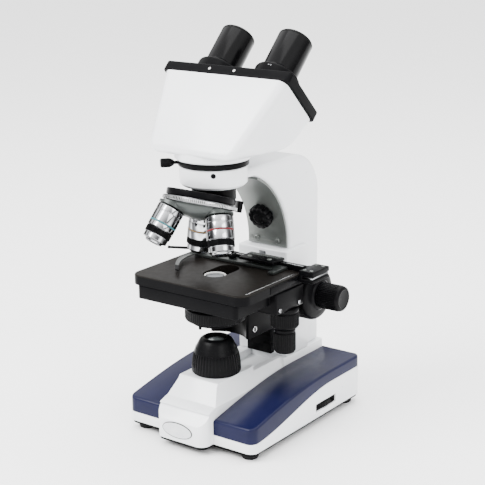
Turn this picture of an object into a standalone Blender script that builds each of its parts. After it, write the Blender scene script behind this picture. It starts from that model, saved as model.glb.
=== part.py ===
# Binocular compound microscope: slotted mechanical stage, coaxial focus, tilted triple nosepiece.
# The stand's frame has the optical axis at x = 0, y = 0, the table at z = 0 and the arm at +y.
# The part's own frame moves that axis to optical_y, so that its origin is under the middle.
import math

import bmesh
import bpy

mm = 0.001

# fits and finishes
gap = 0.3 * mm
running_fit = 0.4 * mm
turn_steps = 24
small_steps = 12
reach = 4 * mm

# base
base_width = 145 * mm
wing_front = 43 * mm
nose_length = 14 * mm
base_back = 140 * mm
base_wall = 3 * mm
foot_height = 5.7 * mm
foot_radius = 8 * mm
foot_inset = 12.5 * mm
bottom_plate_thickness = 2.7 * mm
spine_half_width = 28 * mm
skirt_front_height = 17.5 * mm
skirt_back_height = 37.5 * mm
cover_front_height = 32 * mm
cover_back_height = 48.5 * mm
rise_length = 130 * mm
cover_edge = 2.2 * mm
wing_corner = 8 * mm
nose_height = 38 * mm
pedestal_height = 60 * mm
pedestal_half_width = 22 * mm
pedestal_front = 24 * mm
pedestal_slope = 15 * mm
spine_back_height = 55.5 * mm
spine_chamfer = 5 * mm
valley_half_width = 16.5 * mm
valley_front = 28 * mm
valley_slope = 6 * mm
valley_floor = 48.5 * mm

# lamp house and electrics
hood_radius = 23 * mm
hood_height = 33 * mm
hood_wall = 3 * mm
hood_profile = ((0.2, 0.99), (0.5, 0.94), (0.71, 0.826), (0.89, 0.7), (1.0, 0.548))
field_lens_radius = 9.5 * mm
field_lens_thickness = 3 * mm
lamp_radius = 7 * mm
lamp_length = 26 * mm
wheel_radius = 18 * mm
wheel_thickness = 5.5 * mm
wheel_y = 76 * mm
wheel_z = 18.5 * mm
wheel_proud = 1.2 * mm
slot_length = 35 * mm
slot_height = 8 * mm
board_size = (60 * mm, 44 * mm, 1.6 * mm)
board_y = 60 * mm
inlet_width = 27 * mm
inlet_height = 19 * mm
inlet_depth = 18 * mm
inlet_x = 0 * mm
switch_width = 14 * mm
switch_height = 20 * mm
switch_depth = 9 * mm
switch_x = 50 * mm
switch_lean = 1.2 * mm
rear_z = 21.5 * mm
socket_wall = 3 * mm
pin_spacing = 6.9 * mm
pin_half = 1 * mm
wheel_ribs = 24
wheel_rib_height = 0.6 * mm
wheel_bore = 3 * mm
plate_inset = 1.5 * mm
foot_taper = 1 * mm

# arm
arm_half_width = 24 * mm
arm_back = 136 * mm
arm_top = 250 * mm
arm_corner = 42 * mm
arm_edge = 3 * mm
block_half_width = 28.5 * mm
block_front = 74.5 * mm
block_back = 112 * mm
block_top = 161 * mm
throat_radius = 79.4 * mm
throat_y = 3.7 * mm
throat_z = 165 * mm
trim_thickness = 1.8 * mm
trim_margin = 2 * mm
trim_from_angle = -2
trim_to_angle = 66
trim_screw_x = 12 * mm
trim_screw_z = 167.6 * mm
ring_radius = 30.5 * mm
ring_bottom = 238 * mm
ring_top = 256 * mm
light_bore = 14 * mm
seat_ring_radius = 32 * mm
seat_ring_height = 5.4 * mm
lock_screw_angle = 227
lock_screw_radius = 3.9 * mm
clamp_angle = 21.6
clamp_radius = 12 * mm
clamp_length = 10 * mm
clamp_shaft = 4 * mm
clamp_flutes = 12
clamp_flute_depth = 0.8 * mm
lock_grip_length = 12 * mm
trim_screw_shank = 1.3 * mm
trim_screw_length = 9 * mm

# focusing
focus_y = 86.5 * mm
focus_z = 121.5 * mm
coarse_radius = 25 * mm
coarse_length = 20 * mm
tension_radius = 24 * mm
tension_length = 11 * mm
coarse_shaft_radius = 6 * mm
fine_shaft_radius = 3 * mm
fine_radius = 12.5 * mm
fine_length = 24 * mm
pinion_radius = 6 * mm
knob_step = 2 * mm

# stage carrier
slide_half_width = 14 * mm
slide_thickness = 6 * mm
slide_bottom = 58 * mm
slide_top = 150 * mm
rack_half_width = 3.5 * mm
bracket_half_width = 22 * mm
bracket_front = 21 * mm
bracket_bottom = 88 * mm
stage_half_width = 64 * mm
stage_front = 44.5 * mm
stage_back = 56 * mm
stage_height = 154 * mm
stage_plate_thickness = 9.5 * mm
stage_corner = 11 * mm
under_plate_thickness = 12 * mm
under_plate_inset = 8 * mm
stage_hole_radius = 11 * mm
stage_slot_end = 30 * mm
condenser_radius = 28 * mm
condenser_bottom = 110 * mm
condenser_rim_height = 13.5 * mm
condenser_tube_radius = 16 * mm
condenser_lens_radius = 8.5 * mm
condenser_lens_thickness = 3 * mm
condenser_nose_radius = 10.3 * mm
condenser_nose_below = 2 * mm
iris_lever_length = 4.5 * mm
iris_lever_radius = 1.4 * mm
iris_ring_thickness = 1.2 * mm
iris_angle = 262
tube_recess = 4 * mm

# mechanical stage
carriage_inner = 64.6 * mm
carriage_outer = 80 * mm
carriage_y = (40 * mm, 68 * mm)
carriage_bottom = 147 * mm
carriage_top = 158 * mm
rail_back = 54 * mm
rail_front = 47 * mm
rail_left = 34 * mm
rail_height = 5 * mm
holder_left = 52 * mm
holder_right = 48 * mm
holder_front = 34 * mm
holder_thickness = 2.6 * mm
jaw_reach = 10 * mm
jaw_width = 6 * mm
slider_left = 2 * mm
slider_right = 40 * mm
slider_height = 2.6 * mm
finger_pivot = (-48 * mm, 37 * mm)
finger_knob_radius = 8 * mm
finger_knob_height = 4.6 * mm
finger_length = 58 * mm
finger_width = 7.5 * mm
finger_lever_length = 30 * mm
finger_lever_radius = 1.4 * mm
finger_lever_angle = 205
finger_thickness = 1.2 * mm
finger_bow = 0.06
finger_drift = 0.36
finger_taper = 0.45
finger_rib_height = 0.5 * mm
finger_ribs = 16
screw_ribs = 12
screw_rib_height = 0.4 * mm
holder_screw_x = -10 * mm
holder_screw_radius = 4 * mm
travel_x = 54 * mm
travel_y = 33.5 * mm
travel_block_x = (42 * mm, 63.5 * mm)
travel_block_y = (6 * mm, 50 * mm)
travel_block_bottom = 123.2 * mm
y_knob_radius = 13.2 * mm
y_knob_length = 19 * mm
x_knob_radius = 10.2 * mm
x_knob_length = 24 * mm
travel_knob_step = 1.5 * mm

# nosepiece and objectives
nose_tilt = math.radians(18.8)
nose_y = -20.5 * mm
nose_z = 224.6 * mm
rim_radius = 33.5 * mm
rim_thickness = 4.5 * mm
mount_radius = 31 * mm
mount_thickness = 6 * mm
dome_depth = 15 * mm
boss_radius = 12.8 * mm
boss_seat = 9 * mm
objective_reach = 44.4 * mm
objective_radius = 12.3 * mm
nosepiece_turn = 94
click_angle = 37
click_half_width = 6 * mm
click_depth = 4 * mm
objective_groove = 0.5 * mm
nose_share = {"objective_4x": 0.74, "objective_10x": 0.74, "objective_40x": 0.62}
objective_names = ("objective_4x", "objective_10x", "objective_40x")

# head
eye_tilt = math.radians(45)
plate_y = 15 * mm
plate_z = 333.7 * mm
plate_half_width = 69 * mm
plate_length = 61 * mm
plate_thickness = 10 * mm
head_half_width = 67 * mm
head_taper = 0.235
head_bottom = 262 * mm
head_flange_radius = 34.5 * mm
head_flange_height = 5.5 * mm
head_wall = 3 * mm
head_edge = 8 * mm
head_lean = 0.085
prism_half_width = 12 * mm
prism_height = 18 * mm
eye_spacing = 64 * mm
eye_travel = 6 * mm
eye_collar_radius = 21.5 * mm
eye_collar_height = 15.5 * mm
eyetube_radius = 13.2 * mm
eyetube_depth = 14 * mm
eyepiece_radius = 16.5 * mm
eyepiece_length = 39 * mm
eyetube_wall = 1.2 * mm
eyepiece_sleeve_radius = eyetube_radius - eyetube_wall - running_fit
eyepiece_sleeve_length = 20 * mm
eye_cup = 2.2 * mm
eye_lens_radius = 13 * mm


# modelling helpers

def material(name, colour, roughness, metallic=0.0):
    made = bpy.data.materials.new(name)
    made.use_nodes = True
    shader = made.node_tree.nodes["Principled BSDF"]
    shader.inputs["Base Color"].default_value = (*colour, 1.0)
    shader.inputs["Roughness"].default_value = roughness
    shader.inputs["Metallic"].default_value = metallic
    return made


def add_object(name, mesh, parent, look=None, at=(0, 0, 0), turn=(0, 0, 0)):
    made = bpy.data.objects.new(name, mesh)
    bpy.context.scene.collection.objects.link(made)
    made.parent = parent
    made.location = at
    made.rotation_euler = turn
    if look is not None:
        mesh.materials.append(look)
    return made


def frame(name, parent, at=(0, 0, 0), turn=(0, 0, 0)):
    return add_object(name, None, parent, None, at, turn)


def mesh_of(name, points, faces):
    made = bmesh.new()
    corners = [made.verts.new(point) for point in points]
    for face in faces:
        made.faces.new([corners[index] for index in face])
    bmesh.ops.recalc_face_normals(made, faces=made.faces)
    mesh = bpy.data.meshes.new(name)
    made.to_mesh(mesh)
    made.free()
    return mesh


# A solid through rings of equal length; the first and last rings are closed by flat ends.
def loft(name, rings, parent, look=None, at=(0, 0, 0), turn=(0, 0, 0)):
    size = len(rings[0])
    points = [point for ring in rings for point in ring]
    faces = [list(range(size))[::-1], [size * (len(rings) - 1) + index for index in range(size)]]
    for row in range(len(rings) - 1):
        for index in range(size):
            after = (index + 1) % size
            low = size * row
            high = low + size
            faces.append([low + index, low + after, high + after, high + index])
    return add_object(name, mesh_of(name, points, faces), parent, look, at, turn)


# A solid of revolution about local z, from a closed outline of (radius, height) corners.
def turned(name, outline, parent, look=None, at=(0, 0, 0), turn=(0, 0, 0), steps=turn_steps):
    points = []
    rings = []
    for radius, height in outline:
        count = steps if radius > 0 else 1
        rings.append([len(points) + index for index in range(count)])
        for index in range(count):
            angle = math.tau * index / steps
            points.append((radius * math.cos(angle), radius * math.sin(angle), height))
    faces = []
    for ring, other in zip(rings, rings[1:] + rings[:1]):
        for index in range(steps):
            after = (index + 1) % steps
            corners = [ring[index % len(ring)], ring[after % len(ring)]]
            corners += [other[after % len(other)], other[index % len(other)]]
            unique = list(dict.fromkeys(corners))
            if len(unique) > 2:
                faces.append(unique)
    made = add_object(name, mesh_of(name, points, faces), parent, look, at, turn)
    made.data.shade_smooth()
    made.data.set_sharp_from_angle(angle=math.radians(35))
    return made


def rod(name, radius, low, high, parent, look=None, at=(0, 0, 0), turn=(0, 0, 0), steps=turn_steps):
    outline = [(0, low), (radius, low), (radius, high), (0, high)]
    return turned(name, outline, parent, look, at, turn, steps)


def tube(name, radius, bore, low, high, parent, look=None, at=(0, 0, 0), turn=(0, 0, 0)):
    outline = [(bore, low), (radius, low), (radius, high), (bore, high)]
    return turned(name, outline, parent, look, at, turn)


def block(name, low, high, parent, look=None, edge=0.0, at=(0, 0, 0), turn=(0, 0, 0)):
    rings = []
    for z in (low[2], high[2]):
        corners = [(low[0], low[1]), (high[0], low[1]), (high[0], high[1]), (low[0], high[1])]
        rings.append([(x, y, z) for x, y in corners])
    made = loft(name, rings, parent, look, at, turn)
    if edge > 0:
        bevel(made, edge)
    return made


# A prism: outline corners (u, v) in the local xy plane, raised from low to high along local z.
def prism(name, outline, low, high, parent, look=None, at=(0, 0, 0), turn=(0, 0, 0)):
    rings = [[(u, v, z) for u, v in outline] for z in (low, high)]
    return loft(name, rings, parent, look, at, turn)


# Local x, y and z of a side profile point along y, z and x of the stand.
side_on = (math.radians(90), 0, math.radians(90))
to_right = (0, math.radians(90), 0)
to_left = (0, math.radians(-90), 0)


def arc(centre, radius, from_angle, to_angle, steps):
    points = []
    for index in range(steps + 1):
        angle = math.radians(from_angle + (to_angle - from_angle) * index / steps)
        points.append((centre[0] + radius * math.cos(angle), centre[1] + radius * math.sin(angle)))
    return points


def rounded(low, high, radii, steps=4):
    corners = [(high[0], high[1]), (low[0], high[1]), (low[0], low[1]), (high[0], low[1])]
    inward = [(-1, -1), (1, -1), (1, 1), (-1, 1)]
    points = []
    for index, ((x, y), (side_x, side_y), radius) in enumerate(zip(corners, inward, radii)):
        if radius <= 0:
            points.append((x, y))
            continue
        centre = (x + side_x * radius, y + side_y * radius)
        points += arc(centre, radius, 90 * index, 90 * index + 90, steps)
    return points


def bevel(target, width, segments=2, angle=30):
    made = target.modifiers.new("edge", "BEVEL")
    made.width = width
    made.segments = segments
    made.limit_method = "ANGLE"
    made.angle_limit = math.radians(angle)


def combine(target, tool, operation):
    made = target.modifiers.new(operation.lower(), "BOOLEAN")
    made.operation = operation
    made.solver = "EXACT"
    made.object = tool
    tool.hide_render = True
    tool.display_type = "WIRE"


def cut(target, tool):
    combine(target, tool, "DIFFERENCE")


def join(target, tool):
    combine(target, tool, "UNION")


def keep_within(target, tool):
    combine(target, tool, "INTERSECT")


def blend(low, high, share):
    return low + (high - low) * share


def sine_rise(low, high, share):
    return blend(low, high, math.sin(math.pi / 2 * min(max(share, 0.0), 1.0)))


def smooth_rise(low, high, share):
    share = min(max(share, 0.0), 1.0)
    return blend(low, high, share * share * (3 - 2 * share))


# base

base_bottom = foot_height + bottom_plate_thickness + gap
half_base = base_width / 2
foot_x = half_base - foot_inset
arm_foot = spine_back_height + gap


def skirt_top(y):
    return smooth_rise(skirt_front_height, skirt_back_height, (y + wing_front) / rise_length)


def cover_top(y):
    return sine_rise(cover_front_height, cover_back_height, (y + wing_front) / rise_length)


# Distance that a rounded corner of the plan takes off the side, this far in from the end.
def corner_inset(depth, radius):
    if depth >= radius:
        return 0.0
    return radius - math.sqrt(radius * radius - (radius - depth) ** 2)


def wing_stations(inset):
    front = -wing_front + inset
    back = base_back - inset
    ends = [0.0, 0.15, 0.5, 1.0]
    stations = [front + wing_corner * share for share in ends]
    middle = [blend(front + wing_corner, back - wing_corner, index / 9) for index in range(1, 9)]
    return stations + middle + [back - wing_corner * share for share in ends[::-1]]


def wing_side(y, inset):
    depth = min(y + wing_front - inset, base_back - inset - y)
    return half_base - inset - corner_inset(depth, wing_corner)


# Hollow lower casting with two wings, a central spine and the pedestal of the lamp house.
def base_housing(stand, look):
    rings = []
    for y in wing_stations(0):
        side = wing_side(y, 0)
        top = skirt_top(y)
        rings.append([(-side, y, base_bottom), (side, y, base_bottom), (side, y, top), (-side, y, top)])
    housing = loft("base_housing", rings, stand, look)

    nose_front = -wing_front - nose_length
    corners = (0, 0, wing_corner, wing_corner)
    plan = rounded((-spine_half_width, nose_front), (spine_half_width, base_back), corners)
    spine = prism("spine_form", plan, base_bottom, pedestal_height + reach, stand)
    bevel(spine, spine_chamfer, 1, 80)
    side_line = [
        (nose_front - reach, base_bottom - reach),
        (base_back + reach, base_bottom - reach),
        (base_back + reach, spine_back_height),
        (valley_front, spine_back_height),
        (valley_front, pedestal_height),
        (-pedestal_front, pedestal_height),
        (-pedestal_front - pedestal_slope, nose_height + reach),
        (-wing_front - nose_length / 2, nose_height),
        (nose_front - reach, nose_height - nose_length),
    ]
    reach_side = spine_half_width + reach
    spine_line = prism("spine_line", side_line, -reach_side, reach_side, stand, turn=side_on)
    keep_within(spine, spine_line)
    join(housing, spine)

    flank = spine_half_width - pedestal_half_width
    for side in (-1, 1):
        outline = [
            (side * (spine_half_width + reach), cover_back_height - flank),
            (side * (spine_half_width + reach), pedestal_height + reach),
            (side * pedestal_half_width, pedestal_height + reach),
            (side * pedestal_half_width, pedestal_height - flank / 2),
            (side * (spine_half_width - gap), cover_back_height - flank),
        ]
        turn = (math.radians(90), 0, 0)
        cut(housing, prism(f"flank_{side}", outline, reach - block_front, wing_front, stand, turn=turn))

    valley = [
        (valley_front - valley_slope, pedestal_height + reach),
        (valley_front + valley_slope, valley_floor),
        (block_front + reach, valley_floor),
        (block_front + reach, pedestal_height + reach),
    ]
    cut(housing, prism("valley", valley, -valley_half_width, valley_half_width, stand, turn=side_on))

    rings = []
    low = base_bottom - reach
    for y in wing_stations(base_wall):
        side = wing_side(y, base_wall)
        top = skirt_top(y) - base_wall
        rings.append([(-side, y, low), (side, y, low), (side, y, top), (-side, y, top)])
    cut(housing, loft("wing_cavity", rings, stand))
    spine_wall = spine_half_width - base_wall
    low = (-spine_wall, nose_front + 2 * base_wall, base_bottom - reach)
    high = (spine_wall, base_back - base_wall, nose_height - 2 * base_wall)
    cut(housing, block("nose_cavity", low, high, stand))
    lamp_room = pedestal_half_width - 2 * base_wall
    low = (-lamp_room, -lamp_room, base_bottom)
    high = (lamp_room, valley_front - valley_slope - base_wall, pedestal_height - base_wall)
    cut(housing, block("lamp_room", low, high, stand))
    cut(housing, rod("lamp_hole", light_bore, valley_floor, pedestal_height + reach, stand))

    slot_low = (half_base - 2 * base_wall, wheel_y - slot_length / 2, wheel_z - slot_height / 2)
    slot_high = (half_base + reach, wheel_y + slot_length / 2, wheel_z + slot_height / 2)
    cut(housing, block("wheel_slot", slot_low, slot_high, stand))
    rear_hole(housing, stand, "inlet_hole", inlet_x, inlet_width, inlet_height)
    rear_hole(housing, stand, "switch_hole", switch_x, switch_width, switch_height)


def rear_hole(housing, stand, name, x, width, height):
    low = (x - width / 2 - gap, base_back - 2 * base_wall, rear_z - height / 2 - gap)
    high = (x + width / 2 + gap, base_back + reach, rear_z + height / 2 + gap)
    cut(housing, block(name, low, high, stand))


# Painted cover over one wing; side is 1 for the right wing and -1 for the left.
def wing_cover(name, side, stand, look):
    inner = spine_half_width + gap
    inset = gap
    rings = []
    for y in wing_stations(inset):
        outer = wing_side(y, inset)
        low = skirt_top(y) + gap
        end = min(y + wing_front - inset, base_back - inset - y)
        drop = corner_inset(end, cover_edge)
        top = cover_top(y) - drop
        shoulder = top - (cover_edge if end >= cover_edge else cover_edge - drop)
        near = min(outer - inner, cover_edge) / 2
        ring = [
            (inner, y, low),
            (outer, y, low),
            (outer, y, shoulder),
            (outer - near, y, top - near / 2),
            (outer - 2 * near, y, top),
            (inner + near, y, top),
            (inner, y, top - near),
        ]
        rings.append([(side * x, y, z) for x, y, z in ring])
    loft(name, rings, stand, look)


def bottom_plate(stand, look):
    half = half_base - plate_inset
    corner = wing_corner - plate_inset
    plan = rounded((-half, -wing_front + plate_inset), (half, base_back - plate_inset), [corner] * 4)
    low = foot_height + gap
    high = low + bottom_plate_thickness - gap
    plate = prism("bottom_plate", plan, low, high, stand, look)
    nose_half = spine_half_width - plate_inset
    nose_front = -wing_front - nose_length + plate_inset
    nose_plan = rounded((-nose_half, nose_front), (nose_half, 0), (0, 0, corner, corner))
    join(plate, prism("nose_plate", nose_plan, low, high, stand))


def feet(stand, look):
    places = {
        "foot_front_left": (-foot_x, -wing_front + foot_inset),
        "foot_front_right": (foot_x, -wing_front + foot_inset),
        "foot_back_left": (-foot_x, base_back - foot_inset),
        "foot_back_right": (foot_x, base_back - foot_inset),
    }
    outline = [(0, 0), (foot_radius - foot_taper, 0), (foot_radius, foot_taper)]
    outline += [(foot_radius, foot_height), (0, foot_height)]
    for name, (x, y) in places.items():
        turned(name, outline, stand, look, at=(x, y, 0), steps=small_steps)


# lamp house and electrics

def lamp_house(stand, looks):
    low = pedestal_height + gap
    top = low + hood_height
    neck = field_lens_radius + gap
    lens_low = top - 2 * field_lens_thickness
    inside = hood_radius - hood_wall
    outline = [(inside, low), (hood_radius - hood_wall / 6, low), (hood_radius, low + hood_wall)]
    outline += [(hood_radius * width, low + hood_height * share) for share, width in hood_profile]
    shoulder = hood_height / 2
    lip = neck - hood_wall / 2
    outline += [(neck, top), (neck, lens_low), (lip, lens_low), (lip, lens_low - hood_wall)]
    outline += [(inside - hood_wall, low + shoulder), (inside, low + hood_wall)]
    turned("illuminator_hood", outline, stand, looks["black"])

    dome = field_lens_thickness / 2
    lens_high = lens_low + field_lens_thickness
    lens = [(0, lens_low + gap), (field_lens_radius, lens_low + gap)]
    lens += [(field_lens_radius, lens_high), (0, lens_high + dome)]
    turned("field_lens", lens, stand, looks["glass"])

    base = pedestal_height - lamp_length
    glass = lamp_radius * 0.8
    bulb = [(0, base), (lamp_radius, base), (lamp_radius, base + lamp_length / 2)]
    bulb += [(glass, base + lamp_length / 2), (glass, base + lamp_length * 0.9), (0, base + lamp_length)]
    turned("lamp", bulb, stand, looks["glass"], steps=small_steps)


def electrics(stand, looks):
    width, length, thickness = board_size
    low = (-width / 2, board_y - length / 2, base_bottom + base_wall)
    high = (width / 2, board_y + length / 2, base_bottom + base_wall + thickness)
    block("circuit_board", low, high, stand, looks["board"])

    axis = (half_base + wheel_proud - wheel_radius, wheel_y, wheel_z)
    half = wheel_thickness / 2
    shape = (wheel_radius, wheel_ribs, wheel_rib_height, -half, half)
    wheel = flower("dimmer_wheel", *shape, stand, looks["black"], at=axis)
    bore = rod("wheel_hole", wheel_bore, -wheel_thickness, wheel_thickness, stand, at=axis, steps=small_steps)
    cut(wheel, bore)

    back = base_back - gap
    low = (inlet_x - inlet_width / 2, back - inlet_depth, rear_z - inlet_height / 2)
    high = (inlet_x + inlet_width / 2, back, rear_z + inlet_height / 2)
    inlet = block("mains_inlet", low, high, stand, looks["black"], edge=1 * mm)
    low = (low[0] + socket_wall, low[1] + socket_wall, low[2] + socket_wall)
    high = (high[0] - socket_wall, base_back + reach, high[2] - socket_wall)
    cut(inlet, block("inlet_socket", low, high, stand))
    for index in (-1, 0, 1):
        x = inlet_x + index * pin_spacing
        low = (x - pin_half, back - inlet_depth + pin_half, rear_z - 2 * pin_half)
        high = (x + pin_half, back - socket_wall, rear_z + 2 * pin_half)
        join(inlet, block(f"inlet_pin_{index}", low, high, stand))

    # the rocker turns about a pin across the hole, its face a shallow V
    pivot = (switch_x, base_back - switch_depth / 2, rear_z)
    half_height = switch_height / 2 - 3 * gap
    deep = switch_depth / 2
    face = [(-deep, -half_height / 2), (deep - switch_lean, -half_height), (deep - 2 * switch_lean, 0)]
    face += [(deep, half_height), (-deep, half_height / 2)]
    half_width = switch_width / 2 - gap
    prism("power_switch", face, -half_width, half_width, stand, looks["black"], at=pivot, turn=side_on)


# A disc with a scalloped grip: as many ribs as asked, each this much proud of the valleys.
def flower(name, radius, ribs, rib_height, low, high, parent, look, at=(0, 0, 0), turn=(0, 0, 0)):
    outline = []
    for index in range(2 * ribs):
        angle = math.pi * index / ribs
        length = radius if index % 2 == 0 else radius - rib_height
        outline.append((length * math.cos(angle), length * math.sin(angle)))
    return prism(name, outline, low, high, parent, look, at, turn)


# arm

def throat_point(radius, angle):
    turn = math.radians(angle)
    return throat_y + radius * math.cos(turn), throat_z + radius * math.sin(turn)


def arm_casting(stand, look):
    casting_radius = throat_radius + trim_thickness + gap
    start = math.degrees(math.asin((block_top - throat_z) / casting_radius))
    end = math.degrees(math.acos((ring_radius - throat_y) / casting_radius))
    corner = (arm_back - arm_corner, arm_top - arm_corner)
    outline = [(throat_y + casting_radius, arm_foot), (arm_back, arm_foot)]
    outline += arc(corner, arm_corner, 0, 90, 8)
    outline += [(0, arm_top), (0, ring_bottom + reach)]
    outline += arc((throat_y, throat_z), casting_radius, end, start, 10)
    casting = prism("arm_casting", outline, -arm_half_width, arm_half_width, stand, look, turn=side_on)
    bevel(casting, arm_edge, 2, 60)

    low = (-block_half_width, block_front, arm_foot)
    high = (block_half_width, block_back, block_top)
    foot_block = block("focus_block", low, high, stand, edge=arm_edge / 2)
    join(casting, foot_block)
    ring = [(0, ring_bottom), (ring_radius - arm_edge, ring_bottom), (ring_radius, ring_bottom + arm_edge)]
    ring += [(ring_radius, ring_top), (0, ring_top)]
    join(casting, turned("front_ring", ring, stand))
    neck_room = neck_radius + gap
    neck_end = neck_top + gap
    bore = [(0, ring_bottom - reach), (neck_room, ring_bottom - reach), (neck_room, neck_end)]
    bore += [(light_bore, neck_end), (light_bore, ring_top + reach), (0, ring_top + reach)]
    cut(casting, turned("light_path", bore, stand))

    bore = coarse_shaft_radius + running_fit
    side = block_half_width + reach
    focus = (0, focus_y, focus_z)
    cut(casting, rod("focus_bore", bore, -side, side, stand, at=focus, turn=to_right, steps=small_steps))
    half = rack_half_width + running_fit
    low = (-half, block_front - reach, slide_bottom - reach)
    high = (half, focus_y + running_fit, slide_top + 2 * reach)
    cut(casting, block("rack_slot", low, high, stand))
    return casting


def arm_trim(stand, look):
    half = arm_half_width - trim_margin
    inner = arc((throat_y, throat_z), throat_radius, trim_from_angle, trim_to_angle, 10)
    outer = arc((throat_y, throat_z), throat_radius + trim_thickness, trim_to_angle, trim_from_angle, 10)
    return prism("arm_trim", inner + outer, -half, half, stand, look, turn=side_on)


# Pan-head screws through the trim into the casting, heads towards the stage.
def trim_screws(stand, looks, casting, trim):
    shank = trim_screw_shank
    head = 2 * shank
    length = trim_screw_length
    face_y = throat_y + math.sqrt(throat_radius ** 2 - (trim_screw_z - throat_z) ** 2)
    body = [(0, -length), (shank, -length), (shank, gap), (head, gap), (head, shank)]
    body += [(shank, 1.5 * shank), (0, 1.5 * shank)]
    turn = (math.radians(90), 0, 0)
    for name, side in (("trim_screw_left", -1), ("trim_screw_right", 1)):
        at = (side * trim_screw_x, face_y, trim_screw_z)
        turned(name, body, stand, looks["steel"], at=at, turn=turn, steps=small_steps)
        room = shank + gap
        hole = rod(name + "_hole", room, -length - gap, reach, stand, at=at, turn=turn, steps=small_steps)
        cut(casting, hole)
        cut(trim, hole)


# Knob on the throat of the arm, square to the trim's curve there.
def arm_clamp(stand, looks, casting, trim):
    y, z = throat_point(throat_radius, clamp_angle)
    turn = (math.radians(90 + clamp_angle), 0, 0)
    axis = frame("clamp_axis", stand, (0, y, z), turn)
    hollow = throat_radius - math.sqrt(throat_radius ** 2 - clamp_radius ** 2)
    shape = (clamp_radius, clamp_flutes, clamp_flute_depth, hollow + gap, clamp_length)
    knob = flower("arm_clamp_knob", *shape, axis, looks["black"])
    bevel(knob, clamp_flute_depth, 1, 60)
    shaft = rod("clamp_shaft", clamp_shaft, -clamp_length, clamp_length / 2, axis, steps=small_steps)
    join(knob, shaft)
    hole = rod("clamp_hole", clamp_shaft + running_fit, -clamp_length - gap, reach, axis, steps=small_steps)
    cut(casting, hole)
    cut(trim, hole)


# Seat for the head on top of the arm's ring, with the thumb screw that locks the head.
def head_seat(stand, looks):
    low = ring_top + gap
    high = low + seat_ring_height
    bore = light_bore + 2 * base_wall
    seat = tube("head_seat_ring", seat_ring_radius, bore, low, high, stand, looks["black"])
    middle = (low + high) / 2
    turn = (0, math.radians(90), math.radians(lock_screw_angle))
    axis = frame("lock_axis", stand, (0, 0, middle), turn)
    shank = seat_ring_height / 2 - 4 * gap
    neck = head_flange_radius + 1 * mm
    grip_end = neck + lock_grip_length
    grip = lock_screw_radius
    tip = bore + 1 * mm
    body = [(0, tip), (shank, tip), (shank, neck), (grip * 0.6, neck), (grip, neck + grip)]
    body += [(grip, grip_end - 2 * gap), (grip - 2 * gap, grip_end), (0, grip_end)]
    turned("head_lock_screw", body, axis, looks["black"], steps=small_steps)
    cut(seat, rod("lock_hole", shank + gap, light_bore, seat_ring_radius + reach, axis, steps=small_steps))


# focusing

def focus_group(stand, looks):
    axis = frame("focus_axis", stand, (0, focus_y, focus_z))
    start = block_half_width + gap
    coarse_start = start + tension_length + gap
    coarse_end = coarse_start + coarse_length
    shaft_bore = fine_shaft_radius + running_fit
    half = coarse_end - reach
    look = looks["steel"]
    tube("coarse_shaft", coarse_shaft_radius, shaft_bore, -half, half, axis, look, turn=to_right)
    step = knob_step
    for side_name, turn in (("right", to_right), ("left", to_left)):
        bore = coarse_shaft_radius + gap
        collar = [(bore, start), (tension_radius, start), (tension_radius, coarse_start - gap - step)]
        collar += [(tension_radius - step, coarse_start - gap), (bore, coarse_start - gap)]
        collar_name = "tension_ring" if side_name == "right" else "bearing_flange"
        turned(collar_name, collar, axis, looks["black"], turn=turn)

        low = coarse_start
        high = coarse_end
        face = coarse_radius - 3 * step
        coarse = [(bore, low), (coarse_radius - step / 2, low), (coarse_radius, low + step / 2)]
        coarse += [(coarse_radius, high - 2 * step), (coarse_radius - step, high - step), (face, high)]
        coarse += [(bore, high)]
        turned("coarse_knob_" + side_name, coarse, axis, looks["black"], turn=turn)

        low = coarse_end + gap
        high = low + fine_length
        shaft = fine_shaft_radius + gap
        inner = high - fine_length / 3
        fine = [(shaft, low), (fine_radius - step / 2, low), (fine_radius, low + step / 2)]
        fine += [(fine_radius, high - step), (fine_radius - step, high), (0, high)]
        fine += [(0, inner), (shaft, inner)]
        turned("fine_knob_" + side_name, fine, axis, looks["black"], turn=turn)
    end = coarse_end + gap + fine_length * 2 / 3 - gap
    rod("fine_shaft", fine_shaft_radius, -end, end, axis, looks["steel"], turn=to_right, steps=small_steps)


# stage

stage_bottom = stage_height - stage_plate_thickness
under_top = stage_bottom - gap
under_bottom = under_top - under_plate_thickness


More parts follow.
